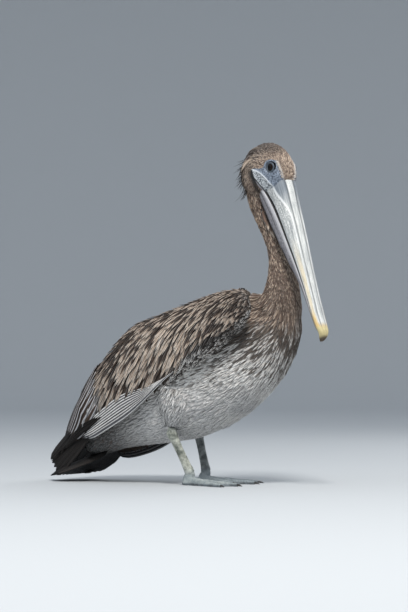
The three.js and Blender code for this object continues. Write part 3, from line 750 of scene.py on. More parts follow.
def lower_shape(around, along):
    places = LOWER_BILL[0, 0] + (LOWER_BILL[-1, 0] - LOWER_BILL[0, 0]) * along
    top, keel, half = along_table(LOWER_BILL, places).T
    angle = 2 * np.pi * around - np.pi / 2
    rise = np.sin(angle)
    across = np.cos(angle)
    deep = top - keel
    narrow = np.where(rise < 0, 1 - 0.34 * rise * rise, 1.0)
    out = np.sign(across) * np.abs(across) ** 0.8 * narrow * half
    rim = 0.16 * deep
    above = np.where(rise > 0, top - rim * (1 - np.abs(rise) ** 0.7), top - rim + (deep - rim) * rise)
    # The bar of the jaw stands out a little over the pouch.
    bar = np.exp(-(((rise + 0.02) / 0.10) ** 2))
    slack = smooth(0.05, 0.5, -rise) * smooth(0, 40, places) * smooth(230, 120, places)
    folds = 0.45 * np.sin(places / 7 + 9 * rise) * slack
    out = out * (1 + 0.03 * bar) + np.sign(across) * folds
    return bill_spot(out, places, above - 0.3)


lower = tube("pouch_detail", 64, 110, lower_shape)
pouch_finish = Finish("pouch")
along = pouch_finish.value("along")
height = ((pouch_finish.value("around") - 0.5) * 2).far()  # 1 along the keel, 0 on top, half way at the bars
folds = pouch_finish.noise(2.2, 6.0, pouch_finish.joined(along * 5.0, height * 26.0), 0.62)
mottle = pouch_finish.noise(330.0, 5.0, None, 0.65)
# A dark line along the crease below the bars: painted shade.
crease_shade = (height - 0.585 - 0.05 * along).far().rise(0.016, 0.006) * along.rise(0.50, 0.25)
skin_tone = pouch_finish.layered(
    pouch_finish.mix(mottle.rise(0.3, 0.7), tone("67666d"), tone("b6b3b6")),
    # Painted shade in the folds' hollows.
    (folds.rise(0.54, 0.40) * 0.5, "66636b"),
    (height.rise(0.56, 0.53) * 0.7, "c4c4c7"),
    (crease_shade * 0.75, "2c2a2e"),
    # Painted shade: the pouch's top, under the upper bill, near black, and its keel underneath dark.
    (height.rise(0.445, 0.425), "151416"),
    (height.rise(0.70, 0.80), "1d1b1e"),
    (along.rise(0.080, 0.045), "131214"),
    (along.rise(0.80, 0.94) * 0.55, "b8a274"),
)
pouch_finish.set(
    base_color=skin_tone,
    roughness=0.42 + mottle * 0.22,
    normal=pouch_finish.relief(folds * 0.8 + mottle * 0.25, 0.0014),
)
piece("pouch_detail", lower, pouch_finish, ["bill_lower_pouch"])


# ---------------------------------------------------------------- plumage of head, neck and body
# Thousands of separate small feathers: short hair-like ones on head and neck, broader ones on the body.
# Each is a thin closed vane rooted in the skin, and lies back over the roots of those behind it.

# The line of the body from rump to nape: forward, up, half the body's depth there, in metres.
SPINE = np.array([
    (-0.240, 0.067, 0.022), (-0.206, 0.091, 0.046), (-0.167, 0.123, 0.067), (-0.122, 0.152, 0.088),
    (-0.071, 0.173, 0.104), (-0.015, 0.190, 0.112), (0.038, 0.208, 0.112), (0.082, 0.225, 0.103),
    (0.116, 0.242, 0.092), (0.141, 0.258, 0.078), (0.160, 0.277, 0.062), (0.172, 0.301, 0.050),
    (0.177, 0.328, 0.041), (0.177, 0.356, 0.034), (0.173, 0.383, 0.030), (0.165, 0.411, 0.026),
    (0.153, 0.439, 0.024), (0.141, 0.466, 0.024), (0.131, 0.493, 0.023), (0.126, 0.520, 0.024),
    (0.125, 0.545, 0.024),
])
FACE_POINT = head_spot(0.0, 0.100, 0.535)


def body_frame(points):
    """Side, forward and up in metres, from the ground between the feet."""
    return points[:, 0], -points[:, 1] - GROUND_SHIFT, points[:, 2]


def unit(vectors):
    return vectors / np.maximum(np.linalg.norm(vectors, axis=-1, keepdims=True), 1e-9)


def spine_way(points):
    """Direction of the spine toward the tail near each place, and how far along it the place is."""
    side, forward, up = body_frame(points)
    starts, ends = SPINE[:-1], SPINE[1:]
    run = ends[:, :2] - starts[:, :2]
    length = np.linalg.norm(run, axis=1)
    relative = np.stack([forward, up], 1)[:, None, :] - starts[None, :, :2]
    share = np.clip((relative * run).sum(-1) / length**2, 0, 1)
    away = np.linalg.norm(relative - share[..., None] * run, axis=-1)
    away = np.hypot(away, side[:, None]) / (starts[:, 2] + share * (ends[:, 2] - starts[:, 2]))
    weight = 1 / (0.15 + away) ** 8
    weight /= weight.sum(1, keepdims=True)
    way = -(weight[..., None] * (run / length[:, None])).sum(1)
    station = (weight * (np.arange(len(starts)) + share)).sum(1)
    return np.stack([np.zeros(len(points)), -way[:, 0], way[:, 1]], 1), station


def lie(points, flow):
    """Which way the feathers point at places on the skin, before they are laid flat on it."""
    way, _ = spine_way(points)
    along, side, up = on_head(points)
    off_face = unit(points - FACE_POINT)
    droop = 1.3 * smooth(0.030, -0.022, along)
    head_way = unit(off_face + droop[:, None] * np.array([0, 0, -1.0]))
    on_neck = np.maximum(smooth(0.548, 0.512, up) * smooth(0.045, 0.020, along), smooth(0.505, 0.485, up))
    way = unit(head_way * (1 - on_neck)[:, None] + way * on_neck[:, None])
    if flow == "thigh":
        way = unit(way * 0.45 + np.array([0, 0.12, -0.9]))
    return way


bpy.context.view_layer.update()
skin_polygons = [tuple(p.vertices) for p in skin.polygons]
skin_points = points_of(skin)
skin_normals = normals_of(skin)
skin_tree = BVHTree.FromPolygons([Vector(p) for p in skin_points], skin_polygons)
face_normals = np.array([skin_normals[list(p)].mean(0) for p in skin_polygons])


def settle(points):
    """The nearest places on the skin and its normals there."""
    places = np.empty_like(points)
    faces = np.empty(len(points), int)
    for i, point in enumerate(points):
        places[i], _, faces[i], _ = skin_tree.find_nearest(point)
    return places, unit(face_normals[faces])


def scattered(corners, seed, tries):
    """Random places spread evenly over triangles: which triangle, and where."""
    rng = np.random.default_rng(seed)
    span = np.cross(corners[:, 1] - corners[:, 0], corners[:, 2] - corners[:, 0])
    area = np.linalg.norm(span, axis=1)
    chosen = rng.choice(len(corners), tries, p=area / area.sum())
    a, b = rng.random((2, tries, 1))
    over = a + b > 1
    a, b = np.where(over, 1 - a, a), np.where(over, 1 - b, b)
    tri = corners[chosen]
    return chosen, tri[:, 0] + a * (tri[:, 1] - tri[:, 0]) + b * (tri[:, 2] - tri[:, 0])


def thinned(points, spacing):
    """Keeps places no closer together than the spacing asked for at each."""
    cell = float(spacing.max())
    taken = {}
    kept = []
    keys = np.floor(points / cell).astype(int)
    steps = [(i, j, k) for i in (-1, 0, 1) for j in (-1, 0, 1) for k in (-1, 0, 1)]
    listed = points.tolist()
    for i, (key, gap) in enumerate(zip(keys.tolist(), spacing.tolist())):
        x, y, z = listed[i]
        clear = True
        for dx, dy, dz in steps:
            for ox, oy, oz in taken.get((key[0] + dx, key[1] + dy, key[2] + dz), ()):
                if (ox - x) ** 2 + (oy - y) ** 2 + (oz - z) ** 2 < gap * gap:
                    clear = False
                    break
            if not clear:
                break
        if clear:
            taken.setdefault(tuple(key), []).append((x, y, z))
            kept.append(i)
    return np.array(kept)


ROOT_DEPTH = 0.0006  # how far a feather's root lies under the skin
PATCH = 0.003  # how wide a small feather's own patch of the map OFBake is


def coat(name, finish, slot, lines, forms, outline, roots_on_map, ground, rim, patch=PATCH, replaced=()):
    """One piece of closed feather vanes, joined.

    lines holds the centre line of each feather and the directions across and out of it; forms its half
    width and thickness at each station.  outline gives the section's corners as (share of half width,
    share of thickness).  The last station closes to a point.  ground and rim are the colours of each
    feather's middle and margin.  Each feather gets its own patch on the map OFBake at its root's place,
    and the whole of the map Vane."""
    paths, sides, ups = lines
    half, crown = forms
    count, stations = paths.shape[:2]
    corners = len(outline)
    rings = stations - 1
    across, rise = np.array(outline).T
    centre = paths[:, :rings, None, :]
    verts = (
        centre
        + sides[:, :rings, None, :] * (half[:, :rings, None] * across)[..., None]
        + ups[:, :rings, None, :] * (crown[:, :rings, None] * rise)[..., None]
    )
    per = rings * corners + 1
    points = np.empty((count, per, 3))
    points[:, : rings * corners] = verts.reshape(count, -1, 3)
    points[:, -1] = paths[:, -1]
    ring = np.arange(corners)
    after = (ring + 1) % corners
    band = np.stack([ring, after, corners + after, corners + ring], 1)
    quads = np.concatenate([r * corners + band for r in range(rings - 1)])
    last = (rings - 1) * corners
    tris = np.stack([last + ring, last + after, np.full(corners, per - 1)], 1)
    cap = ring[::-1]
    one = np.concatenate([quads.ravel(), tris.ravel(), cap])
    sizes = np.concatenate([np.full(len(quads), 4), np.full(len(tris), 3), [corners]])
    loops = (one[None, :] + (np.arange(count) * per)[:, None]).ravel()
    totals = np.tile(sizes, count)
    starts = np.concatenate([[0], np.cumsum(totals)[:-1]])
    mesh = bpy.data.meshes.new(name)
    mesh.vertices.add(count * per)
    mesh.vertices.foreach_set("co", points.astype(np.float32).ravel())
    mesh.loops.add(len(loops))
    mesh.loops.foreach_set("vertex_index", loops.astype(np.int32))
    mesh.polygons.add(len(totals))
    mesh.polygons.foreach_set("loop_start", starts.astype(np.int32))
    mesh.polygons.foreach_set("loop_total", totals.astype(np.int32))
    mesh.update(calc_edges=True)
    share = np.append(np.repeat(np.arange(rings) / rings, corners), 1.0)
    breadth = np.append(np.tile(across / 2 + 0.5, rings), 0.5)
    local = np.stack([breadth, share], 1)
    placed = roots_on_map[:, None, :] + patch * (local[None] - 0.5)
    for key, uv in (("OFBake", placed), ("Vane", np.broadcast_to(local, (count, per, 2)))):
        layer = mesh.uv_layers.new(name=key)
        flat = uv.reshape(-1, 2)[loops]
        layer.uv.foreach_set("vector", flat.astype(np.float32).ravel())
    # Which faces of each vane are its underside, darkened in the quills' finish.
    store(mesh, "under", np.tile(np.append(np.tile((rise < 0) * 1.0, rings), 0.0), count))
    for key, value in (("ground", ground), ("rim", rim)):
        spread = np.broadcast_to(np.atleast_2d(value)[:, None, :], (count, per, 3))
        store(mesh, key, spread.reshape(-1, 3))
    piece(name, mesh, finish, replaced, even=False)


RISE_POWER = 1.3  # how a feather's rise from the skin quickens toward its tip


def flattened(way, up):
    """Directions laid flat on a surface."""
    return unit(way - (way * up).sum(1, keepdims=True) * up)


def faced(lines, ups):
    """Centre lines with the directions across and out of them."""
    runs = unit(np.gradient(lines, axis=1))
    sides = unit(np.cross(runs, ups))
    return lines, sides, unit(np.cross(sides, runs))


def raised(here, up, share, lift, sink):
    """Places on feathers that start under the skin and rise from it toward the tip."""
    return here + up * (lift * share**RISE_POWER - sink * (1 - share) ** 2)[:, None]


def laid(roots, normals, lengths, flow, stations, lift, twist):
    """Centre lines of feathers from their roots over the skin."""
    here, up = roots, normals
    lines, ups = [], []
    for k in range(stations):
        if k > 0:
            here, up = settle(here + way * (lengths / (stations - 1))[:, None])
        bent = flattened(lie(here, flow), up)
        bent = unit(bent + np.cross(up, bent) * twist[:, None])
        way = flattened(unit(way + bent), up) if k > 0 else bent
        lines.append(raised(here, up, k / (stations - 1), lift, ROOT_DEPTH))
        ups.append(up)
    return faced(np.stack(lines, 1), np.stack(ups, 1))


PATCHY = np.random.default_rng(7).normal(size=(9, 3))


def patchy(points, size):
    """Slow wandering values from -1 to 1 over the body, for markings that differ from place to place."""
    waves = [np.sin(points @ (axis * 2.2 / size) + 2.1 * i) for i, axis in enumerate(PATCHY)]
    return sum(waves) / 3.2


def blend(share, first, second):
    """Between two colours, by a share for each place."""
    share = np.clip(np.atleast_1d(share), 0, 1)[:, None]
    return (1 - share) * first + share * second


SOOT, UMBER, BROWN, TAN = (tone(c) for c in ("241d19", "45382f", "6f5b4f", "a58c7a"))
SAND, CHALK, CLOUD, STEEL = (tone(c) for c in ("cbb6a2", "e6e3df", "b9b8b9", "8b8c90"))
PALE_SAND, RUST, BRIGHT = (tone(c) for c in ("e2d2c0", "7a5a48", "f4f3f1"))


# The dark streak behind the gape, along the head and up.
GAPE = [(0.0085, 0.5520), (0.0122, 0.5425), (0.0168, 0.5330), (0.0205, 0.5220)]


def markings(points, seed):
    """The plumage's colours at places on the skin, with painted shade in some of them: each feather's
    middle, and its margin.
    """
    rng = np.random.default_rng(seed)
    side, forward, up = body_frame(points)
    along, lateral, _ = on_head(points)
    count = len(points)
    luck = rng.random(count)
    other = rng.random(count)
    slow = patchy(points, 0.03)
    # Neck and head: brown, speckled with pale tips and a few dark ones.
    neck = blend(0.35 + 0.2 * slow + 0.6 * luck, UMBER, BROWN)
    neck_tip = blend(0.4 + 0.9 * luck, TAN, PALE_SAND)
    neck = blend((other > 0.70) * 0.6, neck, SAND)
    neck_tip = blend((other < 0.34) * 0.9, neck_tip, SOOT)
    crown = smooth(0.572, 0.598, up)
    neck = blend(crown * 0.8, neck, SOOT)
    neck_tip = blend(crown * 0.55, neck_tip, RUST)
    spine_forward = np.interp(up, SPINE[12:, 1], SPINE[12:, 0])
    nape = smooth(0.002, -0.012, forward - spine_forward)
    sandy = nape * smooth(0.435, 0.465, up) * smooth(0.535, 0.510, up)
    neck_tip = blend(sandy * (other > 0.25) * 0.7, neck_tip, tone("e0bd98"))
    neck_tip = blend(nape * smooth(0.525, 0.545, up) * 0.5, neck_tip, SOOT)
    # Upper breast: brown, breaking up into pale streaks, kept darker at the front as painted shade; then a
    # whitish belly, greyed as painted shade.
    fade = (0.293 - up + 0.10 * (forward - 0.15) + 0.018 * slow) / 0.085
    # Less pale toward the front of the breast: painted shade.
    pale = np.clip(fade - 0.33 * smooth(0.13, 0.19, forward), 0, 1)
    streak = luck < 0.24 + 0.66 * smooth(0.0, 1.0, pale)
    grey = blend(pale + 0.5 * other, UMBER, tone("635d57"))
    light = blend(other * (0.3 + pale), tone("a39d98"), CHALK)
    ground = np.where(streak[:, None], light, grey)
    smoothed = np.clip((0.190 - up + 0.12 * np.clip(forward, 0, 0.12)) / 0.05, 0, 1)
    # The belly's grey over whitish feathers is painted shade.
    belly = blend(0.15 + 0.35 * other + 0.15 * slow, CLOUD * 0.86, CHALK)
    ground = blend(smoothed, ground, belly)
    bold = np.where(streak, 0.45 + 0.50 * pale, 0.05)
    tip = blend(bold + (0.35 - bold) * smoothed, ground, BRIGHT)
    # Under the tail: grey-white with brown smudges, painted darker grey as shade.
    rear = smooth(-0.09, -0.17, forward)
    under = blend(0.35 + 0.4 * slow, tone("4d4a46"), CLOUD * 0.45)
    under = blend((other < 0.16) * 0.6, under, BROWN)
    ground = blend(rear, ground, under)
    tip = blend(rear * 0.85, tip, blend(luck * 0.6, under, CLOUD))
    # The rear, under the tail, is darkened further: painted shade.
    rear_shade = 1 - 0.45 * smooth(-0.05, -0.13, forward)[:, None]
    ground, tip = ground * rear_shade, tip * rear_shade
    # Back and rump, where the wings leave them open: brown with pale centres.
    top = smooth(0.02, 0.06, up - np.interp(forward, SPINE[:12, 0], SPINE[:12, 1]))
    on_back = top * smooth(0.12, 0.09, forward)
    ground = blend(on_back, ground, blend(luck, UMBER, BROWN))
    tip = blend(on_back, tip, TAN)
    on_neck = smooth(0.270, 0.325, up + 0.012 * slow)
    ground = blend(on_neck, ground, neck)
    tip = blend(on_neck, tip, neck_tip)
    # Painted shade: the front of the neck darker where it meets the breast, behind the bill and pouch.
    neck_front_shade = np.exp(-(((up - 0.318) / 0.030) ** 2)) * smooth(0.165, 0.195, forward)
    ground = blend(neck_front_shade * 0.4, ground, UMBER)
    tip = blend(neck_front_shade * 0.3, tip, BROWN)
    # The head's sides are speckled paler, and a dark bar runs down behind the gape.
    cheek = smooth(0.520, 0.545, up) * smooth(0.590, 0.570, up)
    ground = blend(cheek * (luck < 0.30) * 0.8, ground, SAND)
    gape = 0.95 * np.exp(-((along_line(GAPE, along, up) / 0.0052) ** 2)) * (np.abs(lateral) > 0.010)
    ground, tip = blend(gape, ground, SOOT * 0.4), blend(gape, tip, SOOT * 0.4)
    # A pale streak from the brow to the forehead's point.
    edge = (np.abs(lateral) - np.interp(up, *FOREHEAD) + 0.0026) / 0.0022
    at_brow = (along > FOREHEAD_START) * smooth(0.572, 0.566, up) * smooth(0.522, 0.530, up)
    brow = 0.8 * np.exp(-(edge**2)) * at_brow
    return blend(brow, ground, CHALK), blend(brow, tip, CHALK)


plume_finish = Finish("plume")
breadth, reach = plume_finish.vane()
mottle = plume_finish.noise(260.0, 3.0)
rim = (breadth.rise(0.45, 1.0) * 0.35 + reach.rise(0.60, 0.95) * 0.85).math("MINIMUM", 1.0)
plume = plume_finish.mix(rim, plume_finish.colour("ground"), plume_finish.colour("rim"))
root_shade = 0.70 + 0.30 * reach.rise(0.2, 0.7)
plume = plume_finish.shaded(plume, root_shade * (0.86 + mottle * 0.28))
plume_finish.set(
    base_color=plume, roughness=0.62 + mottle * 0.25, sheen_weight=0.15, specular_ior_level=0.25
)

TUFT = [(-1, 0), (0, 1), (1, 0)]
THINNING = ([0, 0.5, 1], [1.0, 0.8, 0.35])  # a feather's thickness from root to tip
corner_ids = np.array([p for p in skin_polygons if len(p) == 3] + [
    t for p in skin_polygons if len(p) == 4 for t in ((p[0], p[1], p[2]), (p[0], p[2], p[3]))
])
corners = skin_points[corner_ids]
middles = corners.mean(1)
face_owner = np.array([np.bincount(owners[t]).argmax() for t in corner_ids])
owner_names = np.array(SKIN_NODES)


def rolled(angle, height):
    """Places on a map that is once round the bird across, kept just inside its edges."""
    return np.stack([angle / (2 * np.pi) + 0.5, height], 1) * 0.99 + 0.005


def around_spine(points):
    """A map of the skin: round the spine, and rump to nape up."""
    side, forward, up = body_frame(points)
    way, station = spine_way(points)
    base_f, base_u = (np.interp(station, np.arange(len(SPINE)), SPINE[:, c]) for c in (0, 1))
    rise = (forward - base_f) * -way[:, 2] + (up - base_u) * -way[:, 1]
    return rolled(np.arctan2(side, rise), station / (len(SPINE) - 1))


HEAD_AXIS_UP, HEAD_BACK, HEAD_LENGTH = 0.552, 0.035, 0.12


def over_head(points):
    """A map of the head's skin: round the head's axis, and nape to face up."""
    along, lateral, up = on_head(points)
    return rolled(np.arctan2(lateral, up - HEAD_AXIS_UP), np.clip((along + HEAD_BACK) / HEAD_LENGTH, 0, 1))


def grow_tract(name, slot, mask, spacing, length, half, crown, lift, seed, stations=4, spread=0.10,
               flow="body", mapped=around_spine, paint=markings):
    """Grows the feathers of one tract on the skin's triangles that the mask picks.  Sizes in metres:
    spacing, length, half width, thickness and lift at the tip."""
    rng = np.random.default_rng(seed)
    chosen = np.where(mask)[0]
    tris = corners[chosen]
    area = np.linalg.norm(np.cross(tris[:, 1] - tris[:, 0], tris[:, 2] - tris[:, 0]), axis=1).sum() / 2
    tries = int(area / spacing**2 * 3.2)
    which, roots = scattered(tris, seed, tries)
    gaps = np.full(tries, spacing)
    bare = bareness(roots)
    near_face = np.exp(-((bare / 0.010) ** 2)) * (on_head(roots)[2] > 0.5)
    gaps = gaps * (1 - 0.35 * near_face)
    kept = thinned(roots, gaps)
    kept = kept[bare[kept] < 0.0005] if flow != "thigh" else kept
    roots, which = roots[kept], which[kept]
    size = np.exp(rng.normal(0, 0.14, len(kept))) * (1 - 0.45 * near_face[kept])
    normals = unit(skin_normals[corner_ids[chosen[which]]].mean(1))
    lengths = length * size
    lifts = lift * np.exp(rng.normal(0, 0.35, len(kept)))
    twists = rng.normal(0, spread, len(kept))
    lines = laid(roots, normals, lengths, flow, stations, lifts, twists)
    shares = np.linspace(0, 1, stations)
    profile = np.interp(shares, [0, 0.35, 0.7, 1], [0.55, 1.0, 0.86, 0.0])
    halves = half * size[:, None] * profile
    crowns = crown * np.interp(shares, *THINNING) * np.ones((len(kept), 1))
    coat(name, plume_finish, slot, lines, (halves, crowns), TUFT, mapped(roots), *paint(roots, seed + 1))


def nape_paint(points, seed):
    luck = np.random.default_rng(seed).random(len(points))
    return blend(luck * 0.4, SOOT * 0.5, UMBER), SOOT * 0.4


face_names = owner_names[face_owner]
middle_side, middle_forward, middle_up = body_frame(middles)
middle_along = on_head(middles)[0]
middle_normals = unit(skin_normals[corner_ids].mean(1))
on_trunk = face_names == "trunk"
# A ragged mane of loose dark feathers stands off the nape.
on_mane = np.isin(face_names, ["head", "neck"]) & (middle_along < -0.012)
on_mane &= (middle_up > 0.520) & (middle_up < 0.592)
# Long narrow feathers of mantle and shoulders close the back between the folded wings.
on_mantle = (np.abs(middle_side) < 0.030) & (middle_forward < 0.150) & (middle_forward > -0.245)
on_mantle &= (middle_normals[:, 2] > 0.25) & (middle_up > 0.09)
on_thighs = np.isin(face_names, ["thigh_r", "thigh_l"])

grow_tract(
    "coat_head", "head_plumage", face_names == "head", 0.0017, 0.0070, 0.0009, 0.0005, 0.0009, 11,
    mapped=over_head,
)
grow_tract(
    "coat_mane", "head_plumage", on_mane, 0.0036, 0.0150, 0.0007, 0.0005, 0.0110, 12,
    stations=5, spread=0.25, mapped=over_head, paint=nape_paint,
)
grow_tract("coat_neck", "neck_plumage", face_names == "neck", 0.0021, 0.0095, 0.0011, 0.0006, 0.0011, 13)
grow_tract(
    "coat_breast", "body_plumage", on_trunk & (middle_forward > 0.06),
    0.0029, 0.0210, 0.0015, 0.0007, 0.0016, 17, stations=5,
)
grow_tract(
    "coat_belly", "body_plumage", on_trunk & (middle_forward <= 0.06),
    0.0034, 0.0220, 0.0029, 0.0008, 0.0010, 19, stations=5,
)
grow_tract(
    "coat_thighs", "body_plumage", on_thighs, 0.0031, 0.0200, 0.0019, 0.0008, 0.0028, 23,
    stations=5, spread=0.22, flow="thigh",
)
grow_tract(
    "coat_mantle", "wing_plumage", on_mantle, 0.0060, 0.0400, 0.0048, 0.0011, 0.0045, 29,
    stations=6, spread=0.08,
)


# ---------------------------------------------------------------- wing coverts
# The folded wing's covering feathers, in overlapping rows from the shoulder to the long quills.
# They follow the wing's own form, given by its upper and lower edges at thirteen ribs from the wrist back.

# Per rib: top edge (side, forward, up), lower edge (same), and how far the back's feathers reach in.
WING_RIBS = np.array([
    (79, 154, 339, 84, 164, 319, 0.93), (71, 132, 347, 91, 163, 295, 0.93),
    (58, 82, 343, 95, 137, 266, 0.80), (51, 35, 332, 97, 96, 236, 0.60),
    (47, -6, 320, 96, 50, 209, 0.42), (45, -58, 304, 93, 0, 183, 0.30),
    (44, -108, 288, 87, -48, 150, 0.24), (43, -138, 267, 80, -88, 129, 0.20),
    (43, -170, 235, 74, -123, 112, 0.20), (43, -198, 200, 66, -157, 97, 0.20),
    (42, -220, 164, 58, -189, 84, 0.22), (40, -243, 124, 51, -216, 79, 0.26),
    (37, -268, 72, 43, -257, 64, 0.50),
])
RIB_TABLE = np.concatenate([np.arange(13.0)[:, None], WING_RIBS], 1)
WING_BULGE = 22.0
# The left wing is set back and lower than the right one, and hangs behind the elbow.
WINGS = {"r": (-1.0, 0.0, 0.0, 0.0), "l": (1.0, 14.0, 7.0, 44.0)}


def wing_place(wing, station, share):
    """A place on the folded wing: rib from 0 at the wrist to 12, and 0 at the top edge to 1 at the lower.
    Shares below 0 run in over the back, to the middle of the bird at -1."""
    sign, back, lower, droop = WINGS[wing]
    rib = along_table(RIB_TABLE, np.clip(station, 0, 12))
    beyond = (np.clip(station, 12, None) - 12)[:, None]
    rib = rib + beyond * np.array([-3, -26, -40, -6, -30, -14, 0.0])
    t = np.clip(share, 0, 1)
    over = np.clip(share, 1, None) - 1
    inner = np.clip(share, None, 0)
    tall = rib[:, 2] - rib[:, 5]
    bulge = WING_BULGE * np.sin(np.pi * t) * np.clip(tall / 70, 0, 1)
    mixed = rib[:, :3] + (rib[:, 3:6] - rib[:, :3]) * (t + over)[:, None]
    across = mixed[:, 0] + 0.75 * bulge + rib[:, 0] * (1 - rib[:, 6]) * inner
    hang = droop * np.sin(np.pi * np.clip((station - 3.5) / 9, 0, 1)) * (t + over)
    height = mixed[:, 2] + 0.55 * bulge - hang - lower + 4 * inner
    return np.stack([sign * across, -(mixed[:, 1] - back) - GROUND_SHIFT * 1000, height], 1) / 1000


def wing_frame(wing, station, share):
    """The place on the wing, its two slopes and the way out of it."""
    step = 0.02
    here = wing_place(wing, station, share)
    rearward = (wing_place(wing, station + step, share) - here) / step
    downward = (wing_place(wing, station, share + step) - here) / step
    out = unit(np.cross(rearward, downward))
    facing = out @ np.array([WINGS[wing][0], 0.0, 0.7])
    return here, rearward, downward, out * np.sign(facing)[:, None]


def covert_fall(station, share):
    """Degrees below the horizontal at which coverts point: they slant on the shoulder and hang steeply
    over the rear of the wing."""
    slant = 47 + 20 * smooth(0.8, 4.5, station) * smooth(-0.2, 0.35, share)
    return slant - 12 * smooth(0.80, 0.97, share) * smooth(5.5, 4.5, station)


def combed(wing, at_s, at_t, lengths, stations, lift, twist):
    """Centre lines of feathers combed over the wing from ribs and shares, and where their tips come."""
    steps = (stations - 1) * 2
    lines, ups = [], []
    for k in range(steps + 1):
        here, rearward, downward, out = wing_frame(wing, at_s, at_t)
        angle = np.radians(covert_fall(at_s, at_t) + twist)
        way = flattened(np.stack([np.zeros(len(at_s)), np.cos(angle), -np.sin(angle)], 1), out)
        if k % 2 == 0:
            lines.append(raised(here, out, k / steps, lift, COVERT_DEPTH))
            ups.append(out)
        a = (rearward * rearward).sum(1)
        b = (rearward * downward).sum(1)
        c = (downward * downward).sum(1)
        p = (rearward * way).sum(1)
        q = (downward * way).sum(1)
        bottom = np.maximum(a * c - b * b, 1e-12)
        stride = lengths / steps
        at_s = at_s + stride * (c * p - b * q) / bottom
        at_t = at_t + stride * (a * q - b * p) / bottom
    return faced(np.stack(lines, 1), np.stack(ups, 1)), at_s, at_t


def traced(wing, station, share, level):
    """Centre lines through given ribs and shares (a row for each feather), at a height over the wing."""
    here, _, _, out = wing_frame(wing, station.ravel(), share.ravel())
    out = out.reshape(*station.shape, 3)
    lines = here.reshape(*station.shape, 3) + out * np.broadcast_to(level, station.shape)[..., None]
    return faced(lines, out)


# Where the brown coverts end and the silver secondaries (or the dark front edge, darkened as painted shade)
# begin: rib, share.
COVERT_LIMIT = ([0.0, 1.9, 3.1, 4.2, 4.8, 5.9, 7.2, 12.0], [0.86, 0.87, 0.85, 0.86, 0.96, 0.96, 0.86, 0.81])
COVERT = [(-1, 0), (-0.14, 0.9), (0.14, 0.9), (1, 0)]
LEAF = ([0, 0.12, 0.4, 0.7, 0.9, 1.0], [0.5, 0.8, 1.0, 0.84, 0.45, 0.0])


def feather_forms(half, stations, crown, leaf):
    """Half widths and thicknesses of feathers at their stations."""
    shares = np.linspace(0, 1, stations)
    halves = half[:, None] * np.interp(shares, *leaf)
    return halves, crown * np.interp(shares, *THINNING) * np.ones((len(half), 1))


BLEACHED = tone("ddd0c2")

covert_finish = Finish("covert")
breadth, reach = covert_finish.vane()
mottle = covert_finish.noise(300.0, 3.0)
rim = (breadth.rise(0.25, 0.85) * 0.75 + reach.rise(0.50, 0.98) * 0.8).math("MINIMUM", 1.0)
covert = covert_finish.mix(rim, covert_finish.colour("ground"), covert_finish.colour("rim"))
shaft = breadth.rise(0.34, 0.10) * reach.rise(0.97, 0.80)
covert = covert_finish.mix(shaft * 0.75, covert, tone("1d1613"))
# Each covert darkens toward its root: partly its own dark base, partly painted shade under the feather lying
# over it.
covert = covert_finish.shaded(covert, (0.40 + 0.60 * reach.rise(0.1, 0.65)) * (0.84 + mottle * 0.34))
covert_finish.set(
    base_color=covert, roughness=0.55 + mottle * 0.25, sheen_weight=0.1, specular_ior_level=0.3
)


def covert_colours(station, share, points, seed):
    rng = np.random.default_rng(seed)
    count = len(station)
    luck, other, third = rng.random((3, count))
    slow = patchy(points, 0.035)
    limit = np.interp(station, *COVERT_LIMIT)
    worn = smooth(1.2, 4.5, station) * smooth(0.0, 0.5, share)
    # Fresh dark feathers and worn pale ones lie side by side.
    pale = (third < 0.52 + 0.16 * worn)[:, None]
    dark_ground = blend(luck * 0.35, SOOT * 0.8, UMBER)
    pale_ground = blend(0.20 + 0.35 * luck + 0.2 * slow + 0.35 * worn, BROWN, SAND)
    ground = np.where(pale, pale_ground, dark_ground)
    pale_rim = blend(0.50 + 0.4 * luck + 0.55 * worn * other, TAN, BLEACHED)
    dark_rim = blend(0.2 + 0.5 * luck, UMBER, BROWN)
    rim = np.where(pale, pale_rim, dark_rim)
    bright = np.exp(-(((station - 5.15) / 0.10) ** 2) - ((share - 0.61) / 0.025) ** 2)
    ground, rim = blend(bright, ground, CHALK), blend(bright, rim, CHALK)
    # The shoulder and the front of the lower edge are dark: sooty feathers on the shoulder, painted shade
    # along the lower edge; small feathers there are tipped with white.
    shoulder = smooth(1.6, 0.2, station) * smooth(-0.2, 0.3, share)
    # The sooty shoulder and the painted shade along the lower edge, in one mask.
    sooty_and_shaded = np.maximum(smooth(-0.01, 0.02, share - limit) * smooth(5.6, 5.0, station), 0.60 * shoulder)
    lower_dashes = smooth(2.0, 3.0, station) * smooth(0.88, 0.92, share)
    dashes = np.maximum(lower_dashes, smooth(2.6, 1.2, station) * 0.8)
    ground = blend(sooty_and_shaded, ground, SOOT * 0.45)
    rim = blend(sooty_and_shaded, rim, blend(dashes * (other > 0.22), SOOT * 0.6, CHALK))
    silver = smooth(8.8, 9.9, station) * smooth(0.25, 0.50, share) * (third > 0.40)
    shadow = smooth(7.5, 10.0, station) * (1 - silver)
    ground, rim = blend(shadow * 0.45, ground, SOOT), blend(shadow * 0.35, rim, SOOT)
    ground = blend(silver * 0.7, ground, STEEL)
    rim = blend(silver, rim, tone("dcdbdb"))
    return ground, rim


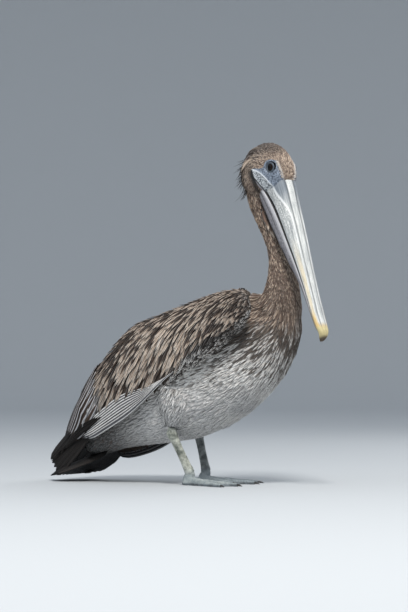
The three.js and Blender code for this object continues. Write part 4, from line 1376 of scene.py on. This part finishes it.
# Coverts stand closer together across than along, so their roots are thinned in a space that is
# squeezed along the way they point.
COVERT_STRETCH = 2.5
SQUEEZE_ANGLE = math.radians(55)
ASIDE = np.array([0, math.sin(SQUEEZE_ANGLE), math.cos(SQUEEZE_ANGLE)])
ALONG = np.array([0, math.cos(SQUEEZE_ANGLE), -math.sin(SQUEEZE_ANGLE)])
SQUEEZE = np.array([[1, 0, 0], ASIDE, ALONG / COVERT_STRETCH])
COVERT_DEPTH = 0.0024  # how far a covert's root lies under the others
COVERT_STATIONS = 6
COVERT_TRIES = 70000
for wing in WINGS:
    rng = np.random.default_rng(31)
    station = rng.uniform(0.0, 11.9, COVERT_TRIES)
    share = rng.uniform(-0.95, 1.0, COVERT_TRIES)
    spots = wing_place(wing, station, share)
    # Small on the shoulder and along the ridge, longest over the lower rear of the wing.
    big = smooth(0.8, 5.0, station) * smooth(-0.15, 0.45, share)
    limit = np.interp(station, *COVERT_LIMIT)
    front = smooth(-0.05, 0.0, share - limit) * smooth(6.0, 5.2, station)
    shoulder = np.maximum(front, smooth(2.0, 0.5, station))
    length = (0.016 + 0.024 * big + 0.006 * smooth(6.5, 10.0, station)) * (1 - shoulder) + 0.0085 * shoulder
    half = (0.0016 + 0.0016 * big) * (1 - shoulder) + 0.0014 * shoulder
    kept = thinned(spots @ SQUEEZE.T, half * 1.5)
    station, share, spots, length, half = (v[kept] for v in (station, share, spots, length, half))
    count = len(kept)
    size = np.exp(rng.normal(0, 0.10, count))
    twist = rng.normal(0, 5.0, count)
    lift = 0.0020 * np.exp(rng.normal(0, 0.35, count))
    lines, tip_s, tip_t = combed(wing, station, share, length * size, COVERT_STATIONS, lift, twist)
    over = tip_t - np.interp(tip_s, *COVERT_LIMIT) + rng.normal(0, 0.012, count)
    # A feather that leaps over a fold of the wing, or hangs past the coverts' limit, is left out.
    strides = np.linalg.norm(np.diff(lines[0], axis=1), axis=2)
    even = strides.max(1) < 1.5 * length * size / (COVERT_STATIONS - 1)
    kept = even & (tip_s < 11.8) & ((over < 0) | ((tip_s < 5.2) & (tip_t < 1.02)))
    forms = feather_forms((half * size)[kept], COVERT_STATIONS, 0.0008, LEAF)
    colours = covert_colours(tip_s[kept], tip_t[kept], spots[kept], 37)
    on_map = np.stack([station[kept] / 12.0, (share[kept] + 1) / 2], 1) * 0.98 + 0.01
    coat("coverts_" + wing, covert_finish, "wing_plumage", [v[kept] for v in lines], forms, COVERT,
         on_map, *colours)


# ---------------------------------------------------------------- quills of wing and tail
# Long stiff feathers: silvery secondaries along the wing's lower edge, pale-edged tertials at its rear,
# black primaries that close over the tail, and the black fan of the tail itself.

quill_finish = Finish("quill")
out, reach = quill_finish.vane()
barbs = (reach * 420.0 - out * 60.0).wave() * 0.5 + 0.5
wear = quill_finish.noise(90.0, 5.0)
edge = out.rise(0.36, 0.54)
quill = quill_finish.mix(edge * 0.85, quill_finish.colour("ground"), quill_finish.colour("rim"))
shaft = out.rise(0.10, 0.04)
quill = quill_finish.mix(shaft * 0.55 + out.rise(0.90, 0.97) * 0.9, quill, tone("16120f"))
# Each quill's underside is darkened: partly the duller underside of the feather, partly painted shade.
quill = quill_finish.shaded(quill, 1 - 0.8 * quill_finish.value("under").rise(0.0, 0.3))
quill = quill_finish.shaded(quill, 0.80 + 0.25 * wear + 0.12 * barbs)
quill_finish.set(
    base_color=quill, roughness=0.42 + 0.25 * wear, specular_ior_level=0.3,
    normal=quill_finish.relief(barbs * 0.5 + shaft, 0.0004),
)

QUILL = [(-1, 0), (-0.5, 0.45), (-0.1, 0.6), (0, 1.6), (0.1, 0.6), (0.5, 0.45), (1, 0), (0, -0.5)]
SECONDARY = ([0, 0.1, 0.5, 0.85, 0.95, 1.0], [0.20, 0.45, 1.0, 0.90, 0.55, 0.0])
BLADE = ([0, 0.08, 0.35, 0.75, 0.92, 0.98, 1.0], [0.30, 0.62, 1.0, 0.96, 0.70, 0.38, 0.0])


QUILL_PATCH = 0.02
QUILL_BOW = 0.02  # the bow's depth at the tip, as a share of the length
STRAIGHT_STATIONS = 14
BLACK_QUILL = (SOOT * 0.35, SOOT * 0.8)
MM_SHIFT = np.array([0, -GROUND_SHIFT * 1000, 0])


def straight_quills(node, piece_name, roots, tips, faces, half, crown, on_map):
    """Stiff black feathers from root to tip, in millimetres, bowed a little away from the side they face."""
    shares = np.linspace(0, 1, STRAIGHT_STATIONS)[None, :, None]
    roots, tips = (roots + MM_SHIFT) / 1000, (tips + MM_SHIFT) / 1000
    run = tips - roots
    long = np.linalg.norm(run, axis=1)[:, None, None]
    along = unit(run)
    side = unit(np.cross(along, faces))
    up = unit(np.cross(side, along))
    lines = roots[:, None] + run[:, None] * shares - up[:, None] * QUILL_BOW * long * shares**2
    sides, ups = (np.repeat(way[:, None], STRAIGHT_STATIONS, 1) for way in (side, up))
    forms = feather_forms(np.full(len(roots), half), STRAIGHT_STATIONS, crown, BLADE)
    coat(piece_name, quill_finish, "flight_feather", (lines, sides, ups), forms, QUILL, on_map,
         *BLACK_QUILL, QUILL_PATCH, [node])


def wing_quills(name, wing, slot, ribs, level, half, crown, leaf, on_map, colours):
    """Stiff feathers over the wing, along ribs and shares with a row for each feather."""
    forms = feather_forms(np.full(len(ribs[0]), half), WING_STATIONS, crown, leaf)
    on_map = np.stack([v[:, 0] for v in on_map], 1)
    coat(name + wing, quill_finish, slot, traced(wing, *ribs, level), forms, QUILL, on_map, *colours)


SECONDARIES, TERTIALS, OUTER_PRIMARIES, PRIMARIES = 8, 8, 3, 9
TIP_STAGGER = 5
LAST_RIB = 12
WING_STATIONS = 16
along = np.linspace(0, 1, WING_STATIONS)[None, :]
for wing, (sign, _, _, _) in WINGS.items():
    rng = np.random.default_rng(41)
    # Secondaries: eight lie in steps along the lower edge, gathered at the front and fanned to the rear.
    step = np.linspace(0, 1, SECONDARIES)[:, None]
    station = 4.7 + 0.5 * step + along * (5.9 - 0.5 * step + 0.5 * np.sin(7 * step))
    share = 0.93 + (0.985 - 0.20 * step - 0.93) * smooth(4.6, 7.8, station)
    level = 0.0006 + 0.0042 * (1 - step) + 0.0004 * along
    luck = rng.random(SECONDARIES)
    colours = blend(luck, tone("2d2d31"), tone("606065")), blend(luck * 0.15, BRIGHT, CLOUD)
    wing_quills("secondaries_", wing, "wing_plumage", (station, share), level, 0.0050, 0.0007, SECONDARY,
                (station / LAST_RIB, share), colours)

    # Tertials: long brown feathers with silver margins, fanned over the wing's rear point.
    step = np.linspace(0, 1, TERTIALS)[:, None]
    station = 8.5 + 0.6 * step + along * (3.3 - 0.9 * step)
    share = -0.30 + 0.95 * step + along * (0.30 - 0.10 * step)
    level = 0.0062 - 0.0046 * step + 0.0006 * along
    colours = blend(rng.random(TERTIALS) * 0.3, UMBER * 0.6, BROWN), tone("cfced1")
    wing_quills("tertials_", wing, "wing_plumage", (station, share), level, 0.0080, 0.0007, BLADE,
                (station / LAST_RIB, (share + 1) / 2), colours)

    # The uppermost primaries show beside the tertials and run on past the wing's point.
    step = np.linspace(0, 1, OUTER_PRIMARIES)[:, None]
    station = 9.0 + 0.4 * step + along * (4.5 - 0.5 * step)
    share = 0.83 - 0.04 * step + along * (0.02 - 0.2 * step)
    wing_quills("outer_primaries_", wing, "flight_feather", (station, share), 0.0046 - 0.0010 * step,
                0.0031, 0.0008, BLADE, (station / 14, share), BLACK_QUILL)

    # Primaries stack beneath the wing's rear point and end together above the tail.
    step = np.linspace(0, 1, PRIMARIES)
    roots = np.stack([sign * (42 + 9 * step), 236 - 33 * step, 104 - 15 * step], 1)
    stagger = TIP_STAGGER * (np.arange(PRIMARIES) % 2)
    tips = np.stack([sign * (34 + 12 * step), 309 - 24 * step - stagger, 40 - 29 * step + 0.8 * stagger], 1)
    straight_quills(
        "primaries_" + wing, "primaries_" + wing + "_detail", roots, tips, (sign, 0.1, 0.35),
        0.0105, 0.0011, np.stack([0.1 + 0.8 * step, np.full(PRIMARIES, 0.5)], 1),
    )

# Tail: a low arched fan of eighteen feathers that falls to just above the ground.  Millimetres.
TAIL_FEATHERS = 18
TAIL_SPREAD = math.radians(26)
TAIL_ROOT = (22, 190.0, 62)  # half the width of the roots, how far back and how high they are
TAIL_LENGTH, TAIL_SHORTENING = 138, 34  # the middle feather, and how much shorter the outermost is
TAIL_FALL, TAIL_OUTER_FALL = 22.5, 2.5  # degrees below the horizontal, and how much more at the sides
TIP_HEIGHT = 4.5
TIP_ARCH = 7
LAYER_STEP = 1.2  # how far the middle feathers lie over the outermost ones
t = np.linspace(-1, 1, TAIL_FEATHERS)
ones = np.ones(TAIL_FEATHERS)
spread = t * TAIL_SPREAD
length = TAIL_LENGTH - TAIL_SHORTENING * t * t
fall = np.radians(TAIL_FALL + TAIL_OUTER_FALL * t * t)
roots = np.stack([TAIL_ROOT[0] * t, TAIL_ROOT[1] * ones, TAIL_ROOT[2] - 8 * t * t], 1)
headings = np.stack([np.sin(spread) * np.cos(fall), np.cos(spread) * np.cos(fall), -np.sin(fall)], 1)
tips = roots + headings * length[:, None]
layer = LAYER_STEP * (1 - np.abs(t))
tips[:, 2] = np.maximum(tips[:, 2], TIP_HEIGHT + layer) + TIP_ARCH * t * t + layer
roots[:, 2] -= 2.2 * np.abs(t)
faces = np.stack([0.9 * t, 0 * t, ones], 1)
on_map = np.stack([0.5 + 0.45 * t, 0.5 * ones], 1)
straight_quills("tail", "tail_detail", roots, tips, faces, 0.0110, 0.0009, on_map)


# ---------------------------------------------------------------- skin finish
# Under the feathers the skin carries the plumage's own colours, darkened as painted shade beneath them.  The
# bare face is blue-grey, with a pale fold along the jaw, a dark seam where bill and pouch part, and mauve
# pouch skin below it.

ground, _ = markings(skin_points, 3)
on_wing = np.char.startswith(owner_names[owners], "wing")
ground = blend(on_wing * 1.0, ground, UMBER)
ground = relax(ground, edges_of(skin), 3)
store(skin, "ground", ground)
along, lateral, up = on_head(skin_points)
bare = np.where(owner_names[owners] == "head", bareness(skin_points), -0.02)
store(skin, "bare", bare)


def above_line(line, along, up):
    """How far places are from a line of points, positive above it."""
    away = along_line(line, along, up)
    return np.where(up > np.interp(along, *np.array(line).T), away, -away)


SEAM = [
    (0.0120, 0.5480), (0.0249, 0.5350), (0.0328, 0.5255), (0.0400, 0.5140), (0.0540, 0.4970),
    (0.0691, 0.4720),
]
store(skin, "seam", above_line(SEAM, along, up))
FOLD_END = [(0.0753, 0.4957), (0.0871, 0.4761)]
store(skin, "fold", above_line(FOLD + FOLD_END, along, up))
store(skin, "eye_ring", np.hypot(along - EYE_AT[0], up - EYE_AT[2]))
store(skin, "gape", along_line(GAPE, along, up))

skin_finish = Finish("skin")
bare = skin_finish.value("bare").rise(-0.0012, 0.0004)
seam = skin_finish.value("seam")
fold = skin_finish.value("fold")
crinkle = skin_finish.noise(420.0, 6.0, None, 0.65)
fine_cells = skin_finish.cells(900.0)
speckle = skin_finish.mix(crinkle.rise(0.44, 0.56), tone("4d545c"), tone("c6cbce"))
pouch_skin = skin_finish.mix(crinkle, tone("6f6d74"), tone("a8a5a9"))
face = skin_finish.mix(crinkle.rise(0.38, 0.66), tone("39424f"), tone("8a96a6"))
face = skin_finish.layered(face, (skin_finish.value("eye_ring").rise(0.0108, 0.0090) * 0.4, "14161a"))
face = skin_finish.mix(fold.rise(0.0004, -0.0006), face, speckle)
face = skin_finish.layered(face, (fold.far().rise(0.0020, 0.0006) * 0.8, "d3d8dc"))
face = skin_finish.layered(
    skin_finish.mix(seam.rise(0.0002, -0.0008), face, pouch_skin),
    (seam.far().rise(0.0015, 0.0008), "141315"),
    (skin_finish.value("gape").rise(0.0066, 0.0048), "101012"),
)
# Feathered skin is darkened: painted shade under the coat.
feathered = skin_finish.shaded(skin_finish.colour("ground"), 0.62 + 0.2 * crinkle)
skin_finish.set(
    base_color=skin_finish.mix(bare, feathered, face),
    roughness=0.50 + crinkle * 0.25,
    normal=skin_finish.relief(crinkle + fine_cells * 0.3, 0.0008),
)
piece("skin", skin, skin_finish, SKIN_NODES)


# ---------------------------------------------------------------- floor, lamps and camera
# A pale studio: a round floor that curves up into its own wall, soft lamps and one camera.

FLOOR_RADIUS = 8.0
WALL_RADIUS = 3.0
WALL_TOP = 6.5
BEND_STEPS = 12
bm = bmesh.new()
profile = [(0.0, 0.0), (FLOOR_RADIUS, 0.0)]
for step in range(1, BEND_STEPS + 1):
    angle = math.pi / 2 * step / BEND_STEPS
    profile.append((FLOOR_RADIUS + WALL_RADIUS * math.sin(angle), WALL_RADIUS * (1 - math.cos(angle))))
profile.append((FLOOR_RADIUS + WALL_RADIUS, WALL_TOP))
rail = [bm.verts.new((x, 0, z)) for x, z in profile]
for start, end in zip(rail, rail[1:]):
    bm.edges.new((start, end))
spun(bm, 72)
studio = mesh_of(bm, "studio_floor")
studio.shade_smooth()
floor = added("studio_floor", studio)
floor_finish = Finish("studio_floor")
floor_finish.set(base_color=tone("b4b8bb"), roughness=0.85)
studio.materials.append(floor_finish.material)


def aimed(name, data, place, way):
    """Puts a lamp or the camera at its place, turned to look a given way."""
    holder = added(name, data)
    holder.location = place
    holder.rotation_mode = "QUATERNION"
    holder.rotation_quaternion = Vector(way).to_track_quat("-Z", "Y")
    return holder


# Square soft lamps that look at the breast: place, width, power and colour.
BREAST = (0.0, 0.0, 0.32)
LAMPS = {
    "key_lamp": ((-2.0, -1.6, 3.2), 0.8, 155, (1.0, 0.97, 0.93)),
    "fill_lamp": ((-3.0, 1.6, 1.5), 2.0, 14, (0.92, 0.96, 1.0)),
    "far_lamp": ((2.8, -0.6, 2.0), 1.6, 25, (1.0, 0.98, 0.95)),
}
for name, (place, width, power, colour) in LAMPS.items():
    data = bpy.data.lights.new(name, "AREA")
    data.size = width
    data.energy = power
    data.color = colour
    aimed(name, data, place, Vector(BREAST) - Vector(place))

AIR_COLOUR = (0.86, 0.92, 1.0, 1.0)
AIR_STRENGTH = 0.80
world = bpy.data.worlds.new("studio_air")
world.use_nodes = True
air = world.node_tree.nodes["Background"].inputs
air["Color"].default_value = AIR_COLOUR
air["Strength"].default_value = AIR_STRENGTH
bpy.context.scene.world = world
bpy.context.scene.view_settings.view_transform = "Standard"

CAMERA_PLACE = (-3.35468, -2.19306, 0.200)
CAMERA_WAY = (0.83951366, 0.54250495, 0.0300863)
camera_data = bpy.data.cameras.new("camera")
camera_data.sensor_width = 36.0
camera_data.lens = 130.7
camera_data.clip_start = 0.05
camera_data.clip_end = 60.0
bpy.context.scene.camera = aimed("camera", camera_data, CAMERA_PLACE, CAMERA_WAY)
